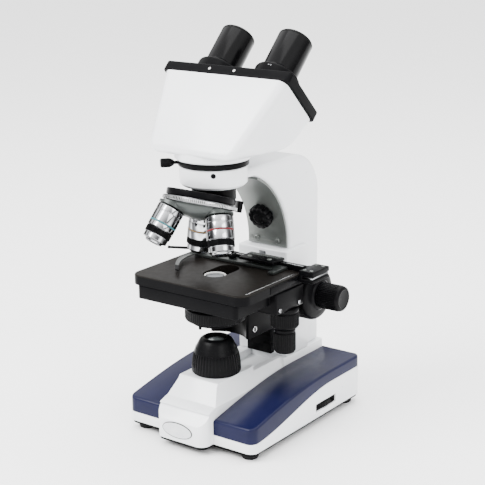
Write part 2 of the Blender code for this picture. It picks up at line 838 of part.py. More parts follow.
def stage_carrier(stand, looks):
    low = (-slide_half_width, block_front - gap - slide_thickness, slide_bottom)
    high = (slide_half_width, block_front - gap, slide_top)
    slide = block("stage_slide", low, high, stand, looks["black"])
    high = (rack_half_width, focus_y - pinion_radius - gap, slide_top - reach)
    low = (-rack_half_width, block_front - slide_thickness / 2, slide_bottom + slide_half_width)
    join(slide, block("rack", low, high, stand))

    back = block_front - gap - slide_thickness - gap
    low = (-bracket_half_width, bracket_front, bracket_bottom)
    high = (bracket_half_width, back, under_bottom - gap)
    bracket = block("stage_bracket", low, high, stand, looks["black"])
    room = condenser_radius + running_fit
    cut(bracket, rod("condenser_room", room, bracket_bottom - reach, under_bottom + reach, stand))

    half = stage_half_width - under_plate_inset
    corners = [under_plate_inset / 2] * 4
    plan = rounded((-half, -stage_front + gap), (half, stage_back - under_plate_inset), corners)
    under = prism("stage_under_plate", plan, under_bottom, under_top, stand, looks["black"])
    cut(under, rod("tube_room", condenser_tube_radius + gap, under_bottom - reach, under_top + reach, stand))
    low = (travel_block_x[0], travel_block_y[0], travel_block_bottom)
    high = (travel_block_x[1], travel_block_y[1], under_top - mm)
    join(under, block("travel_block", low, high, stand, edge=mm))

    corners = [stage_corner / 2, stage_corner / 2, stage_corner, stage_corner]
    plan = rounded((-stage_half_width, -stage_front), (stage_half_width, stage_back), corners, 6)
    plate = prism("stage_plate", plan, stage_bottom, stage_height, stand, looks["stage"])
    bevel(plate, 1.5 * mm, 2, 60)
    hole = stage_hole_radius
    slot = rounded((-hole, -hole), (hole, stage_slot_end), [hole - gap] * 4, 6)
    cut(plate, prism("slide_slot", slot, stage_bottom - reach, stage_height + reach, stand))
    room = condenser_tube_radius + gap
    cut(plate, rod("tube_hole", room, stage_bottom - reach, stage_bottom + tube_recess, stand))


def condenser(stand, looks):
    low = condenser_bottom
    rim = low + condenser_rim_height
    tube_top = stage_bottom + tube_recess - running_fit
    nose = condenser_nose_radius
    nose_top = stage_height - condenser_nose_below
    step = 2 * mm
    lens_seat = nose_top - step
    bore = condenser_lens_radius + gap
    outline = [(bore - step, low), (condenser_radius - 2 * step, low), (condenser_radius, low + step)]
    outline += [(condenser_radius, rim), (condenser_tube_radius, rim), (condenser_tube_radius, tube_top)]
    outline += [(nose, tube_top), (nose, nose_top), (bore, nose_top), (bore, lens_seat)]
    outline += [(bore - step, lens_seat)]
    turned("condenser_housing", outline, stand, looks["black"])
    radius = condenser_lens_radius
    dome = condenser_lens_thickness / 2
    lens = [(0, lens_seat + gap), (radius, lens_seat + gap), (radius, nose_top - dome / 2)]
    lens += [(radius * 0.7, nose_top), (0, nose_top + dome / 2)]
    turned("condenser_lens", lens, stand, looks["glass"])

    # the lever is a ring that turns under the rim, with a pin hanging from it
    axis = frame("iris_axis", stand, (0, 0, low - gap))
    inner = condenser_radius - 6 * step
    outer = condenser_radius - 3 * step
    ring = tube("iris_lever", outer, inner, -iris_ring_thickness, 0, axis, looks["black"])
    turn = math.radians(iris_angle)
    middle = condenser_radius - 4 * step
    at = (middle * math.cos(turn), middle * math.sin(turn), 0)
    join(ring, rod("iris_pin", iris_lever_radius, -iris_lever_length, -gap, axis, at=at, steps=small_steps))


def mechanical_stage(stand, looks):
    surface = stage_height + gap
    # carriage beside the right edge, reaching over the stage as the cross rail
    low = (carriage_inner, carriage_y[0], carriage_bottom)
    high = (carriage_outer, carriage_y[1], carriage_top)
    block("y_carriage", low, high, stand, looks["black"], edge=1 * mm)
    low = (-rail_left, rail_front, surface)
    rail_right = carriage_inner - gap
    block("x_rail", low, (rail_right, rail_back, surface + rail_height), stand, looks["black"])

    travel = frame("travel_axis", stand, (travel_x, travel_y, 0))
    top = travel_block_bottom - gap
    step = travel_knob_step
    for name, radius, high, length in (
        ("y_travel_knob", y_knob_radius, top, y_knob_length),
        ("x_travel_knob", x_knob_radius, top - y_knob_length - gap, x_knob_length),
    ):
        low = high - length
        outline = [(0, low), (radius - step, low), (radius, low + step)]
        outline += [(radius, high - step), (radius - step, high), (0, high)]
        turned(name, outline, travel, looks["black"])


# Slide holder on the cross rail: fixed jaw on the right, sprung finger on the left.
def slide_holder(stand, looks):
    low_z = stage_height + 2 * gap
    high_z = low_z + holder_thickness
    low = (-holder_left, holder_front, low_z)
    high = (holder_right, rail_front - gap, high_z)
    holder = block("slide_holder", low, high, stand, looks["trim"])
    jaw_low = (holder_right - jaw_width, holder_front - jaw_reach, low_z)
    join(holder, block("jaw", jaw_low, (holder_right, holder_front + reach, high_z), stand))

    top = stage_height + gap + rail_height + gap
    low = (slider_left, holder_front, top)
    high = (slider_right, rail_back, top + slider_height)
    block("x_slider", low, high, stand, looks["black"])

    # the finger turns on the knob's pin; its lever leaves the knob on the far side
    x, y = finger_pivot
    axis = frame("finger_axis", stand, (x, y, 0))
    blade_low = high_z + gap
    blade_high = blade_low + finger_thickness
    inner = []
    outer = []
    for index in range(9):
        share = index / 8
        bow = finger_length * finger_bow * math.sin(math.pi * share)
        across = finger_width / 2 * blend(1.0, finger_taper, share)
        along = -finger_length * share
        drift = finger_length * finger_drift * share * share
        outer.append((drift - bow - across, along))
        inner.append((drift - bow + across, along))
    prism("spring_finger", inner + outer[::-1], blade_low, blade_high, axis, looks["trim"])
    knob_low = blade_high + gap
    knob_high = knob_low + finger_knob_height
    shape = (finger_knob_radius, finger_ribs, finger_rib_height, knob_low, knob_high)
    knob = flower("finger_knob", *shape, axis, looks["black"])
    at = (0, 0, (knob_low + knob_high) / 2)
    turn = (0, math.radians(90), math.radians(finger_lever_angle))
    start = finger_knob_radius / 2
    lever = rod("lever", finger_lever_radius, start, finger_lever_length, axis, None, at, turn, 8)
    join(knob, lever)

    at = (holder_screw_x, (holder_front + rail_front) / 2, high_z + gap)
    shape = (holder_screw_radius, screw_ribs, screw_rib_height, 0, rail_height - gap)
    flower("holder_screw", *shape, stand, looks["black"], at=at)


# nosepiece

neck_radius = 20 * mm
neck_top = ring_bottom + 10 * mm


def nosepiece(stand, looks, casting):
    axis = frame("nosepiece_axis", stand, (0, nose_y, nose_z), (-nose_tilt, 0, 0))
    rim_half = rim_thickness / 2
    low = rim_half + running_fit
    high = low + mount_thickness
    step = 1 * mm
    outline = [(0, low), (mount_radius - step, low), (mount_radius, low + step)]
    outline += [(mount_radius, high - step), (mount_radius - step, high), (0, high)]
    mount = turned("nosepiece_mount", outline, axis, looks["black"])
    neck = rod("mount_neck", neck_radius, nose_z, neck_top, stand)
    above = block("above_plate", (-2 * mount_radius,) * 2 + (low + step,), (2 * mount_radius,) * 3, axis)
    keep_within(neck, above)
    join(mount, neck)
    cut(mount, rod("mount_light_path", boss_radius - base_wall, nose_z - 5 * reach, neck_top + reach, stand))
    clear = mount_radius + 2 * gap
    cut(casting, rod("mount_room", clear, -reach, high + gap, axis))

    turret = frame("turret_axis", axis)
    inner = rim_radius - 4 * mm
    rim = [(inner, -rim_half), (rim_radius - step, -rim_half), (rim_radius, -rim_half + step)]
    rim += [(rim_radius, rim_half - step), (rim_radius - step, rim_half), (inner, rim_half)]
    turned("turret_rim", rim, turret, looks["chrome"])

    cup = inner - gap
    dome = [(0, -dome_depth)]
    for share in (0.3, 0.55, 0.75, 0.9, 1.0):
        angle = math.pi / 2 * share
        dome.append((cup * math.sin(angle), -rim_half - gap - (dome_depth - rim_half) * math.cos(angle)))
    dome += [(cup, rim_half - gap), (0, rim_half - gap)]
    shell = turned("turret_dome", dome, turret, looks["trim"])
    radius = -nose_y / math.cos(nose_tilt)
    for index, name in enumerate(objective_names):
        angle = math.radians(nosepiece_turn - 120 * index)
        at = (radius * math.sin(angle), radius * math.cos(angle), 0)
        turn = (nose_tilt, 0, -angle)
        boss_top = boss_seat - reach
        boss = rod(name + "_boss", boss_radius, -boss_seat - step, -boss_top / 2, turret, at=at, turn=turn)
        far = 2 * rim_radius
        keep_within(boss, block(name + "_under", (-far, -far, -far), (far, far, -rim_half - gap), turret))
        join(shell, boss)
        room = boss_radius + gap
        cut(shell, rod(name + "_seat", room, -objective_reach, -boss_seat, turret, at=at, turn=turn))
        objective(name, turret, looks["chrome"], at, turn)
    click_stop(axis, looks)


# Body, grip and front ring of one objective; its shoulder seats on a boss of the nosepiece.
def objective(name, turret, look, at, turn):
    wide = objective_radius
    shoulder = -boss_seat - gap
    tip = -objective_reach
    length = shoulder - tip
    groove = objective_groove
    nose = wide * nose_share[name]
    lens = nose - 4 * groove
    ring = wide * 0.9
    outline = [(0, tip + 2 * groove), (lens, tip + 2 * groove), (lens, tip), (nose, tip)]
    outline += [(ring, tip + length * 0.06), (ring, tip + length * 0.18), (wide - groove, tip + length * 0.2)]
    outline += [(wide - groove, tip + length * 0.38), (wide, tip + length * 0.4)]
    outline += [(wide, shoulder - length * 0.04), (wide - 2 * groove, shoulder), (0, shoulder)]
    turned(name, outline, turret, look, at=at, turn=turn)


def click_stop(axis, looks):
    turn = (0, 0, math.radians(90 - click_angle))
    low = (rim_radius + 2 * gap, -click_half_width, -rim_thickness / 2)
    high = (low[0] + click_depth, click_half_width, mount_thickness + rim_thickness / 2)
    block("click_stop", low, high, axis, looks["black"], edge=2 * gap, turn=turn)


# head

def head(stand, looks):
    swivel = frame("head_axis", stand)
    tilted = frame("eye_axis", swivel, (0, plate_y, plate_z), (-eye_tilt, 0, 0))
    margin = 2 * mm
    floor = head_bottom + head_flange_height

    # local y runs down the plate towards the arm, local -z from the plate towards the nosepiece;
    # the walls taper from above the plate down to a level floor
    def shell(name, inset, height):
        top = []
        bottom = []
        for side, y, lean in (
            (-1, inset, head_lean),
            (1, inset, head_lean),
            (1, plate_length - inset, 0.0),
            (-1, plate_length - inset, 0.0),
        ):
            slope = math.cos(eye_tilt) + lean * math.sin(eye_tilt)
            low = (height - plate_z + y * math.sin(eye_tilt)) / slope
            high = reach + head_edge
            half = head_half_width - inset
            top.append((side * (half + head_taper * high), y - lean * high, high))
            bottom.append((side * (half + head_taper * low), y - lean * low, low))
        solid = loft(name, [bottom, top], tilted)
        bevel(solid, head_edge - inset / 2, 3, 40)
        return solid

    housing = shell("head_housing", 0, floor)
    housing.data.materials.append(looks["white"])
    wide = 2 * plate_half_width
    open_top = block("head_open_top", (-wide, -wide, -gap), (wide, wide, 4 * reach), tilted)
    cut(housing, open_top)
    wide = head_flange_radius
    flange = [(0, head_bottom), (wide - margin, head_bottom), (wide, head_bottom + margin)]
    flange += [(wide, floor + margin), (0, floor + margin)]
    join(housing, turned("head_flange", flange, swivel))
    cut(housing, shell("head_cavity", head_wall, floor + head_wall))
    cut(housing, rod("head_light_path", light_bore, head_bottom - reach, floor + 3 * head_wall, swivel))

    plan = rounded((-plate_half_width, 0), (plate_half_width, plate_length), [2 * margin] * 4, 2)
    plate = prism("head_face_plate", plan, gap, plate_thickness, tilted, looks["black"])
    bevel(plate, 0.8 * mm, 1, 60)

    middle = plate_length / 2
    bore = eyepiece_sleeve_radius + running_fit
    for side_name, side in (("left", -1), ("right", 1)):
        at = (side * eye_spacing / 2, middle, plate_thickness + gap)
        slot_half = eyetube_radius + eye_travel + gap
        slot_side = eyetube_radius + gap
        slot = rounded((-slot_half, -slot_side), (slot_half, slot_side), [eyetube_radius] * 4, 4)
        cut(plate, prism("tube_slot_" + side_name, slot, -reach - plate_thickness, reach, tilted, at=at))

        edge = 1.5 * mm
        collar_top = eye_collar_height
        tube_top = collar_top + edge
        tube_low = -plate_thickness - eyetube_depth
        outline = [(bore, tube_low), (eyetube_radius, tube_low), (eyetube_radius, 0), (eye_collar_radius, 0)]
        outline += [(eye_collar_radius, collar_top - edge), (eye_collar_radius - edge, collar_top)]
        outline += [(eyepiece_radius, collar_top), (eyepiece_radius, tube_top), (bore, tube_top)]
        turned("eyetube_" + side_name, outline, tilted, looks["black"], at=at)

        low = tube_top + gap
        high = low + eyepiece_length
        sleeve = low - eyepiece_sleeve_length
        cup = eye_cup
        barrel = eyepiece_sleeve_radius
        lens = eye_lens_radius
        piece = [(0, sleeve + cup), (barrel - cup, sleeve + cup), (barrel - cup, sleeve), (barrel, sleeve)]
        piece += [(barrel, low), (eyepiece_radius, low), (eyepiece_radius, high - cup)]
        piece += [(eyepiece_radius - cup / 2, high), (lens, high), (lens - cup / 2, high - cup)]
        piece += [(0, high - cup * 0.8)]
        turned("eyepiece_" + side_name, piece, tilted, looks["black"], at=at)

    glass_low = head_bottom + head_flange_height + 2 * head_wall
    glass = (-prism_half_width, -prism_half_width, glass_low)
    prism_top = (prism_half_width, prism_half_width, glass_low + prism_height)
    block("prism_block", glass, prism_top, swivel, looks["glass"])


# assembly

# Moves the whole stand so that the origin is under the middle of its bounding box.
def centre_on_origin(stand):
    bpy.context.view_layer.update()
    graph = bpy.context.evaluated_depsgraph_get()
    corners = []
    for item in bpy.data.objects:
        if item.type == "MESH" and not item.hide_render:
            solid = item.evaluated_get(graph)
            corners += [item.matrix_world @ vertex.co for vertex in solid.data.vertices]
    for index in (0, 1):
        values = [corner[index] for corner in corners]
        stand.location[index] = -(min(values) + max(values)) / 2
    bpy.context.view_layer.update()
    print("optical axis at", tuple(stand.location))


def build():
    for item in list(bpy.data.objects):
        bpy.data.objects.remove(item)
    looks = {
        "white": material("white_paint", (0.86, 0.87, 0.88), 0.3),
        "blue": material("blue_paint", (0.02, 0.022, 0.1), 0.35),
        "trim": material("gray_metallic", (0.33, 0.36, 0.34), 0.4, 0.6),
        "black": material("black_satin", (0.012, 0.012, 0.014), 0.4),
        "stage": material("stage_black", (0.05, 0.045, 0.04), 0.45),
        "chrome": material("chrome", (0.8, 0.8, 0.8), 0.12, 1.0),
        "steel": material("steel", (0.6, 0.6, 0.6), 0.3, 1.0),
        "glass": material("glass", (0.75, 0.8, 0.82), 0.05),
        "rubber": material("rubber", (0.015, 0.015, 0.015), 0.8),
        "board": material("circuit_green", (0.03, 0.16, 0.06), 0.5),
    }
    stand = frame("stand", None)
    base_housing(stand, looks["white"])
    wing_cover("left_cover", -1, stand, looks["blue"])
    wing_cover("right_cover", 1, stand, looks["blue"])
    bottom_plate(stand, looks["rubber"])
    feet(stand, looks["rubber"])
    lamp_house(stand, looks)
    electrics(stand, looks)
    casting = arm_casting(stand, looks["white"])
    trim = arm_trim(stand, looks["trim"])
    trim_screws(stand, looks, casting, trim)
    arm_clamp(stand, looks, casting, trim)
    head_seat(stand, looks)
    focus_group(stand, looks)
    stage_carrier(stand, looks)
    condenser(stand, looks)
    mechanical_stage(stand, looks)
    slide_holder(stand, looks)
    nosepiece(stand, looks, casting)
    head(stand, looks)
    centre_on_origin(stand)


build()
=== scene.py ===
import math

import bmesh
import bpy
from mathutils import Matrix, Vector


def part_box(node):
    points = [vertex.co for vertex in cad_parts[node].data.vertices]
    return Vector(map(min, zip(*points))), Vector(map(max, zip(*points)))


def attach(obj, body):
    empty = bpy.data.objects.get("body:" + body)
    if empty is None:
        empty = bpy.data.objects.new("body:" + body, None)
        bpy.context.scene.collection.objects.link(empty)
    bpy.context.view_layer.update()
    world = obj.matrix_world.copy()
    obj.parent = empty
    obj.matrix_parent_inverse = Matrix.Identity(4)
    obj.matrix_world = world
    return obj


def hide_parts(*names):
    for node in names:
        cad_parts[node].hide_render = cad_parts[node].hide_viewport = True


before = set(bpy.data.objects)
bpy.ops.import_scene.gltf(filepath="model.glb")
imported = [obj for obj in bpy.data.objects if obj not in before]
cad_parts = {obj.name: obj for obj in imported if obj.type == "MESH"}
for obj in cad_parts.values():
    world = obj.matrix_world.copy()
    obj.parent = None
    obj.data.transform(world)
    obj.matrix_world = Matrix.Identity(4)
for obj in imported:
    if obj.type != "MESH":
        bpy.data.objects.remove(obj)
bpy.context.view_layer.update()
mm = 0.001
seatLow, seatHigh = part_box("head_seat_ring")
axisY = (seatLow[1] + seatHigh[1]) / 2  # the optical axis stands here, and all sizes below are from it


# ways to shape metal: everything below is in millimetres until a solid is made

def at(x=0, y=0, z=0):
    return Matrix.Translation((x, y, z))


def turnedBy(degrees, axis):
    return Matrix.Rotation(math.radians(degrees), 4, axis)


sideOn = turnedBy(90, "Z") @ turnedBy(90, "X")  # local x, y, z run along y, z, x
toRight = turnedBy(90, "Y")
toLeft = turnedBy(-90, "Y")
toFront = turnedBy(90, "X")
toBack = turnedBy(-90, "X")


def arc(cx, cy, radius, start, end, steps):
    points = []
    for i in range(steps + 1):
        a = math.radians(start + (end - start) * i / steps)
        points.append((cx + radius * math.cos(a), cy + radius * math.sin(a)))
    return points


def roundedPlan(x0, y0, x1, y1, radii, steps=10):
    centres = [(x1, y1, -1, -1), (x0, y1, 1, -1), (x0, y0, 1, 1), (x1, y0, -1, 1)]
    points = []
    for i, ((x, y, sx, sy), r) in enumerate(zip(centres, radii)):
        if r <= 0:
            points.append((x, y))
        else:
            points += arc(x + sx * r, y + sy * r, r, 90 * i, 90 * i + 90, steps)
    return points


def eased(profile, radius, steps=3, closed=True):  # rounds the corners of an outline
    result = []
    count = len(profile)
    for i, p in enumerate(profile):
        before = Vector(profile[i - 1])
        here = Vector(p)
        after = Vector(profile[(i + 1) % count])
        cut = min(radius, (before - here).length * 0.45, (after - here).length * 0.45)
        onAxis = p[0] <= 0 or (not closed and i in (0, count - 1))
        if onAxis or cut < 0.02:
            result.append(tuple(here))
            continue
        a = here + (before - here).normalized() * cut
        b = here + (after - here).normalized() * cut
        for s in range(steps + 1):
            t = s / steps
            q = a * (1 - t) ** 2 + here * 2 * t * (1 - t) + b * t ** 2
            result.append(tuple(q))
    return result


def linked(name, data):
    made = bpy.data.objects.new(name, data)
    bpy.context.scene.collection.objects.link(made)
    return made


def solid(name, points, faces, place=Matrix()):
    bm = bmesh.new()
    world = at(0, axisY, 0) @ Matrix.Scale(mm, 4) @ place
    verts = [bm.verts.new(world @ Vector(p)) for p in points]
    for f in faces:
        bm.faces.new([verts[i] for i in f])
    bmesh.ops.recalc_face_normals(bm, faces=bm.faces)
    mesh = bpy.data.meshes.new(name)
    bm.to_mesh(mesh)
    bm.free()
    return linked(name, mesh)


def lathe(name, profile, place=Matrix(), steps=96, ease=0.4, ribs=0, depth=0.0, span=None):
    outline = eased(profile, ease) if ease else list(profile)
    points = []
    rings = []
    for r, z in outline:
        ribbed = ribs and r > 0 and (span is None or span[0] - 1e-6 <= z <= span[1] + 1e-6)
        count = steps if r > 1e-6 else 1
        rings.append([len(points) + i for i in range(count)])
        for i in range(count):
            a = math.tau * i / steps
            wave = depth * (0.5 + 0.5 * math.cos(ribs * a)) if ribbed and r > span[2] else 0.0
            points.append(((r - wave) * math.cos(a), (r - wave) * math.sin(a), z))
    faces = []
    for low, high in zip(rings, rings[1:] + rings[:1]):
        for i in range(steps):
            j = (i + 1) % steps
            quad = [low[i % len(low)], low[j % len(low)], high[j % len(high)], high[i % len(high)]]
            quad = list(dict.fromkeys(quad))
            if len(quad) > 2:
                faces.append(quad)
    return solid(name, points, faces, place)


def loft(name, rings, place=Matrix()):
    size = len(rings[0])
    points = [p for ring in rings for p in ring]
    last = size * (len(rings) - 1)
    faces = [list(range(size))[::-1], [last + i for i in range(size)]]
    for row in range(len(rings) - 1):
        for i in range(size):
            j = (i + 1) % size
            a = size * row
            faces.append([a + i, a + j, a + size + j, a + size + i])
    return solid(name, points, faces, place)


def prism(name, outline, low, high, place=Matrix()):
    return loft(name, [[(u, v, z) for u, v in outline] for z in (low, high)], place)


def slab(name, low, high, place=Matrix()):
    plan = [(low[0], low[1]), (high[0], low[1]), (high[0], high[1]), (low[0], high[1])]
    return prism(name, plan, low[2], high[2], place)


def rod(name, radius, low, high, place=Matrix(), steps=48, ease=0.3):
    return lathe(name, [(0, low), (radius, low), (radius, high), (0, high)], place, steps, ease)


def edge(piece, width, segments=3, angle=30):
    made = piece.modifiers.new("edge", "BEVEL")
    made.width = width * mm
    made.segments = segments
    made.limit_method = "ANGLE"
    made.angle_limit = math.radians(angle)
    made.use_clamp_overlap = True
    made.harden_normals = False
    return piece


def carve(piece, *tools, operation="DIFFERENCE"):
    for tool in tools:
        made = piece.modifiers.new("carve", "BOOLEAN")
        made.operation = operation
        made.solver = "EXACT"
        made.object = tool
        tool.hide_render = True
    return piece


def weld(piece, *tools):
    return carve(piece, *tools, operation="UNION")


def settle(piece):  # bakes the modifiers into the mesh and clears away the tools
    graph = bpy.context.evaluated_depsgraph_get()
    mesh = bpy.data.meshes.new_from_object(piece.evaluated_get(graph))
    tools = [m.object for m in piece.modifiers if m.type == "BOOLEAN"]
    piece.modifiers.clear()
    old = piece.data
    piece.data = mesh
    bpy.data.meshes.remove(old)
    for tool in tools:
        if tool and tool.name in bpy.data.objects:
            bpy.data.objects.remove(tool)
    return piece


def fuse(name, *pieces):  # several shapes as one piece
    bm = bmesh.new()
    for piece in pieces:
        if piece.modifiers:
            settle(piece)
        bm.from_mesh(piece.data)
    mesh = bpy.data.meshes.new(name)
    bm.to_mesh(mesh)
    bm.free()
    for piece in pieces:
        bpy.data.objects.remove(piece)
    return linked(name, mesh)


def finish(piece, look, body, *nodes, smooth=35):
    if piece.modifiers:
        settle(piece)
    piece.data.materials.clear()
    piece.data.materials.append(looks[look])
    piece.data.shade_smooth()
    piece.data.set_sharp_from_angle(angle=math.radians(smooth))
    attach(piece, body)
    if nodes:
        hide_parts(*nodes)
    return piece


# what repeats is set out by two small node trees: a ring of parts and a row of parts

def tree(name, inputs):
    made = bpy.data.node_groups.new(name, "GeometryNodeTree")
    made.interface.new_socket("Geometry", in_out="INPUT", socket_type="NodeSocketGeometry")
    for label, kind in inputs:
        made.interface.new_socket(label, in_out="INPUT", socket_type=kind)
    made.interface.new_socket("Geometry", in_out="OUTPUT", socket_type="NodeSocketGeometry")
    return made


def wire(group, source, output, target, entry):
    group.links.new(source.outputs[output], target.inputs[entry])


def closeTree(group, source, output, entrance):
    real = group.nodes.new("GeometryNodeRealizeInstances")
    paint = group.nodes.new("GeometryNodeSetMaterial")
    leave = group.nodes.new("NodeGroupOutput")
    wire(group, source, output, real, "Geometry")
    wire(group, real, "Geometry", paint, "Geometry")
    wire(group, entrance, "Finish", paint, "Material")
    wire(group, paint, "Geometry", leave, "Geometry")


def ringTree():
    group = tree("ringOfParts", [("Count", "NodeSocketInt"), ("Radius", "NodeSocketFloat"), ("Part",
        "NodeSocketObject"), ("Finish", "NodeSocketMaterial")])
    enter = group.nodes.new("NodeGroupInput")
    circle = group.nodes.new("GeometryNodeMeshCircle")
    wire(group, enter, "Count", circle, "Vertices")
    wire(group, enter, "Radius", circle, "Radius")
    spread = group.nodes.new("GeometryNodeInstanceOnPoints")
    wire(group, circle, "Mesh", spread, "Points")
    part = group.nodes.new("GeometryNodeObjectInfo")
    wire(group, enter, "Part", part, "Object")
    wire(group, part, "Geometry", spread, "Instance")
    place = group.nodes.new("GeometryNodeInputPosition")
    facing = group.nodes.new("FunctionNodeAlignRotationToVector")
    facing.axis = "X"
    wire(group, place, "Position", facing, "Vector")
    wire(group, facing, "Rotation", spread, "Rotation")
    closeTree(group, spread, "Instances", enter)
    return group


def rowTree():
    group = tree("rowOfParts", [("Count", "NodeSocketInt"), ("Step", "NodeSocketVector"), ("Part",
        "NodeSocketObject"), ("Finish", "NodeSocketMaterial")])
    enter = group.nodes.new("NodeGroupInput")
    line = group.nodes.new("GeometryNodeMeshLine")
    wire(group, enter, "Count", line, "Count")
    wire(group, enter, "Step", line, "Offset")
    spread = group.nodes.new("GeometryNodeInstanceOnPoints")
    wire(group, line, "Mesh", spread, "Points")
    part = group.nodes.new("GeometryNodeObjectInfo")
    wire(group, enter, "Part", part, "Object")
    wire(group, part, "Geometry", spread, "Instance")
    closeTree(group, spread, "Instances", enter)
    return group


trees = {"ring": ringTree(), "row": rowTree()}


def repeat(name, kind, part, look, place, **values):
    holder = linked(name, bpy.data.meshes.new(name))
    made = holder.modifiers.new("repeat", "NODES")
    made.node_group = trees[kind]
    values.update({"Part": part, "Finish": looks[look]})
    for socket in trees[kind].interface.items_tree:
        if socket.in_out == "INPUT" and socket.name in values:
            made[socket.identifier] = values[socket.name]
    graph = bpy.context.evaluated_depsgraph_get()
    mesh = bpy.data.meshes.new_from_object(holder.evaluated_get(graph))
    bpy.data.objects.remove(holder)
    bpy.data.objects.remove(part)
    mesh.transform(at(0, axisY, 0) @ Matrix.Scale(mm, 4) @ place)
    return linked(name, mesh)


def seed(name, points, faces):  # one part for a ring or a row, in millimetres about its own centre
    mesh = bpy.data.meshes.new(name)
    mesh.from_pydata(points, [], faces)
    return linked(name, mesh)


def ribSeed(width, depth, length):  # a rib with a rounded crown, standing along x, its length along z
    rows = [(-0.5, 0.0), (-0.34, 0.7), (0.0, 1.0), (0.34, 0.7), (0.5, 0.0)]
    points = []
    for z in (-length / 2, length / 2):
        points += [(d * depth, w * width, z) for w, d in rows]
    size = len(rows)
    faces = [list(range(size))[::-1], [size + i for i in range(size)]]
    for i in range(size):
        j = (i + 1) % size
        faces.append([i, j, size + j, size + i])
    return seed("rib", points, faces)


def tickSeed(half, reach):  # a thin mark of a scale
    corners = [(-half, -reach), (half, -reach), (half, reach), (-half, reach)]
    points = [(x, y, z) for z in (0, 0.05) for x, y in corners]
    return seed("tick", points, [(3, 2, 1, 0), (4, 5, 6, 7), (0, 1, 5, 4), (1, 2, 6, 5), (2, 3, 7, 6), (3,
        0, 4, 7)])


def ribs(name, place, count, radius, width, depth, length, look, body):
    made = repeat(name, "ring", ribSeed(width, depth, length), look, place, Count=count,
        Radius=float(radius))
    made.data.shade_smooth()
    made.data.set_sharp_from_angle(angle=math.radians(50))
    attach(made, body)
    return made


# finishes

def surface(name, body, tint, rough, metallic=0.0, blotch=30.0, blotchMix=0.5, grain=900.0, grainDepth=0.02,
            roughSpread=0.06, coat=0.0, coatRough=0.1, stretch=(1, 1, 1), specular=0.5, speck=0.0, ior=1.5,
            anisotropic=0.0, detail=4.0, paintedReflections=False):
    made = bpy.data.materials.new(name)
    made.use_nodes = True
    nodes = made.node_tree.nodes
    links = made.node_tree.links
    shader = nodes["Principled BSDF"]
    shader.inputs["Metallic"].default_value = metallic
    shader.inputs["Specular IOR Level"].default_value = specular
    shader.inputs["IOR"].default_value = ior
    shader.inputs["Coat Weight"].default_value = coat
    shader.inputs["Coat Roughness"].default_value = coatRough
    shader.inputs["Anisotropic"].default_value = anisotropic
    where = nodes.new("ShaderNodeTexCoord")
    grid = nodes.new("ShaderNodeMapping")
    grid.inputs["Scale"].default_value = stretch
    links.new(where.outputs["Object"], grid.inputs["Vector"])

    cloud = nodes.new("ShaderNodeTexNoise")  # slow changes of colour over the surface
    cloud.inputs["Scale"].default_value = blotch
    cloud.inputs["Detail"].default_value = detail
    links.new(where.outputs["Object"], cloud.inputs["Vector"])
    ramp = nodes.new("ShaderNodeValToRGB")
    ramp.color_ramp.elements[0].position = 0.5 - 0.35 * blotchMix
    ramp.color_ramp.elements[1].position = 0.5 + 0.35 * blotchMix
    ramp.color_ramp.elements[0].color = (*tint, 1)
    ramp.color_ramp.elements[1].color = (*body, 1)
    links.new(cloud.outputs["Fac"], ramp.inputs["Fac"])
    colour = ramp.outputs["Color"]

    fine = nodes.new("ShaderNodeTexNoise")  # the grain of the finish
    fine.inputs["Scale"].default_value = grain
    fine.inputs["Detail"].default_value = 3.0
    links.new(grid.outputs["Vector"], fine.inputs["Vector"])
    if speck > 0:
        dust = nodes.new("ShaderNodeMix")
        dust.data_type = "RGBA"
        dust.blend_type = "MULTIPLY"
        dust.inputs["Factor"].default_value = speck
        shade = nodes.new("ShaderNodeValToRGB")
        shade.color_ramp.elements[0].position = 0.3
        shade.color_ramp.elements[1].position = 0.62
        shade.color_ramp.elements[0].color = (0.45, 0.45, 0.45, 1)
        links.new(fine.outputs["Fac"], shade.inputs["Fac"])
        links.new(colour, dust.inputs["A"])
        links.new(shade.outputs["Color"], dust.inputs["B"])
        colour = dust.outputs["Result"]
    if paintedReflections:  # painted reflections: dark and bright stripes multiplied into the colour by the angle to the eye stand in for the reflected room
        facing = nodes.new("ShaderNodeLayerWeight")
        facing.inputs["Blend"].default_value = 0.5
        paintedStreaks = nodes.new("ShaderNodeValToRGB")
        steps = ((0.0, 0.34), (0.08, 0.80), (0.16, 0.12), (0.28, 0.035), (0.38, 0.50), (0.48, 0.12), (0.64,
            0.02), (0.84, 0.26))
        while len(paintedStreaks.color_ramp.elements) < len(steps):
            paintedStreaks.color_ramp.elements.new(0.5)
        for element, (place, level) in zip(paintedStreaks.color_ramp.elements, steps):
            element.position = place
            element.color = (level, level, level * 1.02, 1)
        paintedReflection = nodes.new("ShaderNodeMix")
        paintedReflection.data_type = "RGBA"
        paintedReflection.blend_type = "MULTIPLY"
        paintedReflection.inputs["Factor"].default_value = 1.0
        links.new(facing.outputs["Facing"], paintedStreaks.inputs["Fac"])
        links.new(colour, paintedReflection.inputs["A"])
        links.new(paintedStreaks.outputs["Color"], paintedReflection.inputs["B"])
        colour = paintedReflection.outputs["Result"]
    links.new(colour, shader.inputs["Base Color"])

    wear = nodes.new("ShaderNodeTexNoise")  # rubbed and duller patches
    wear.inputs["Scale"].default_value = blotch * 4
    wear.inputs["Detail"].default_value = 5.0
    links.new(grid.outputs["Vector"], wear.inputs["Vector"])
    spread = nodes.new("ShaderNodeMapRange")
    spread.inputs["To Min"].default_value = max(0.02, rough - roughSpread)
    spread.inputs["To Max"].default_value = rough + roughSpread
    links.new(wear.outputs["Fac"], spread.inputs["Value"])
    links.new(spread.outputs["Result"], shader.inputs["Roughness"])

    if grainDepth > 0:
        relief = nodes.new("ShaderNodeBump")
        relief.inputs["Strength"].default_value = 1.0
        relief.inputs["Distance"].default_value = grainDepth * mm
        links.new(fine.outputs["Fac"], relief.inputs["Height"])
        links.new(relief.outputs["Normal"], shader.inputs["Normal"])
    return made


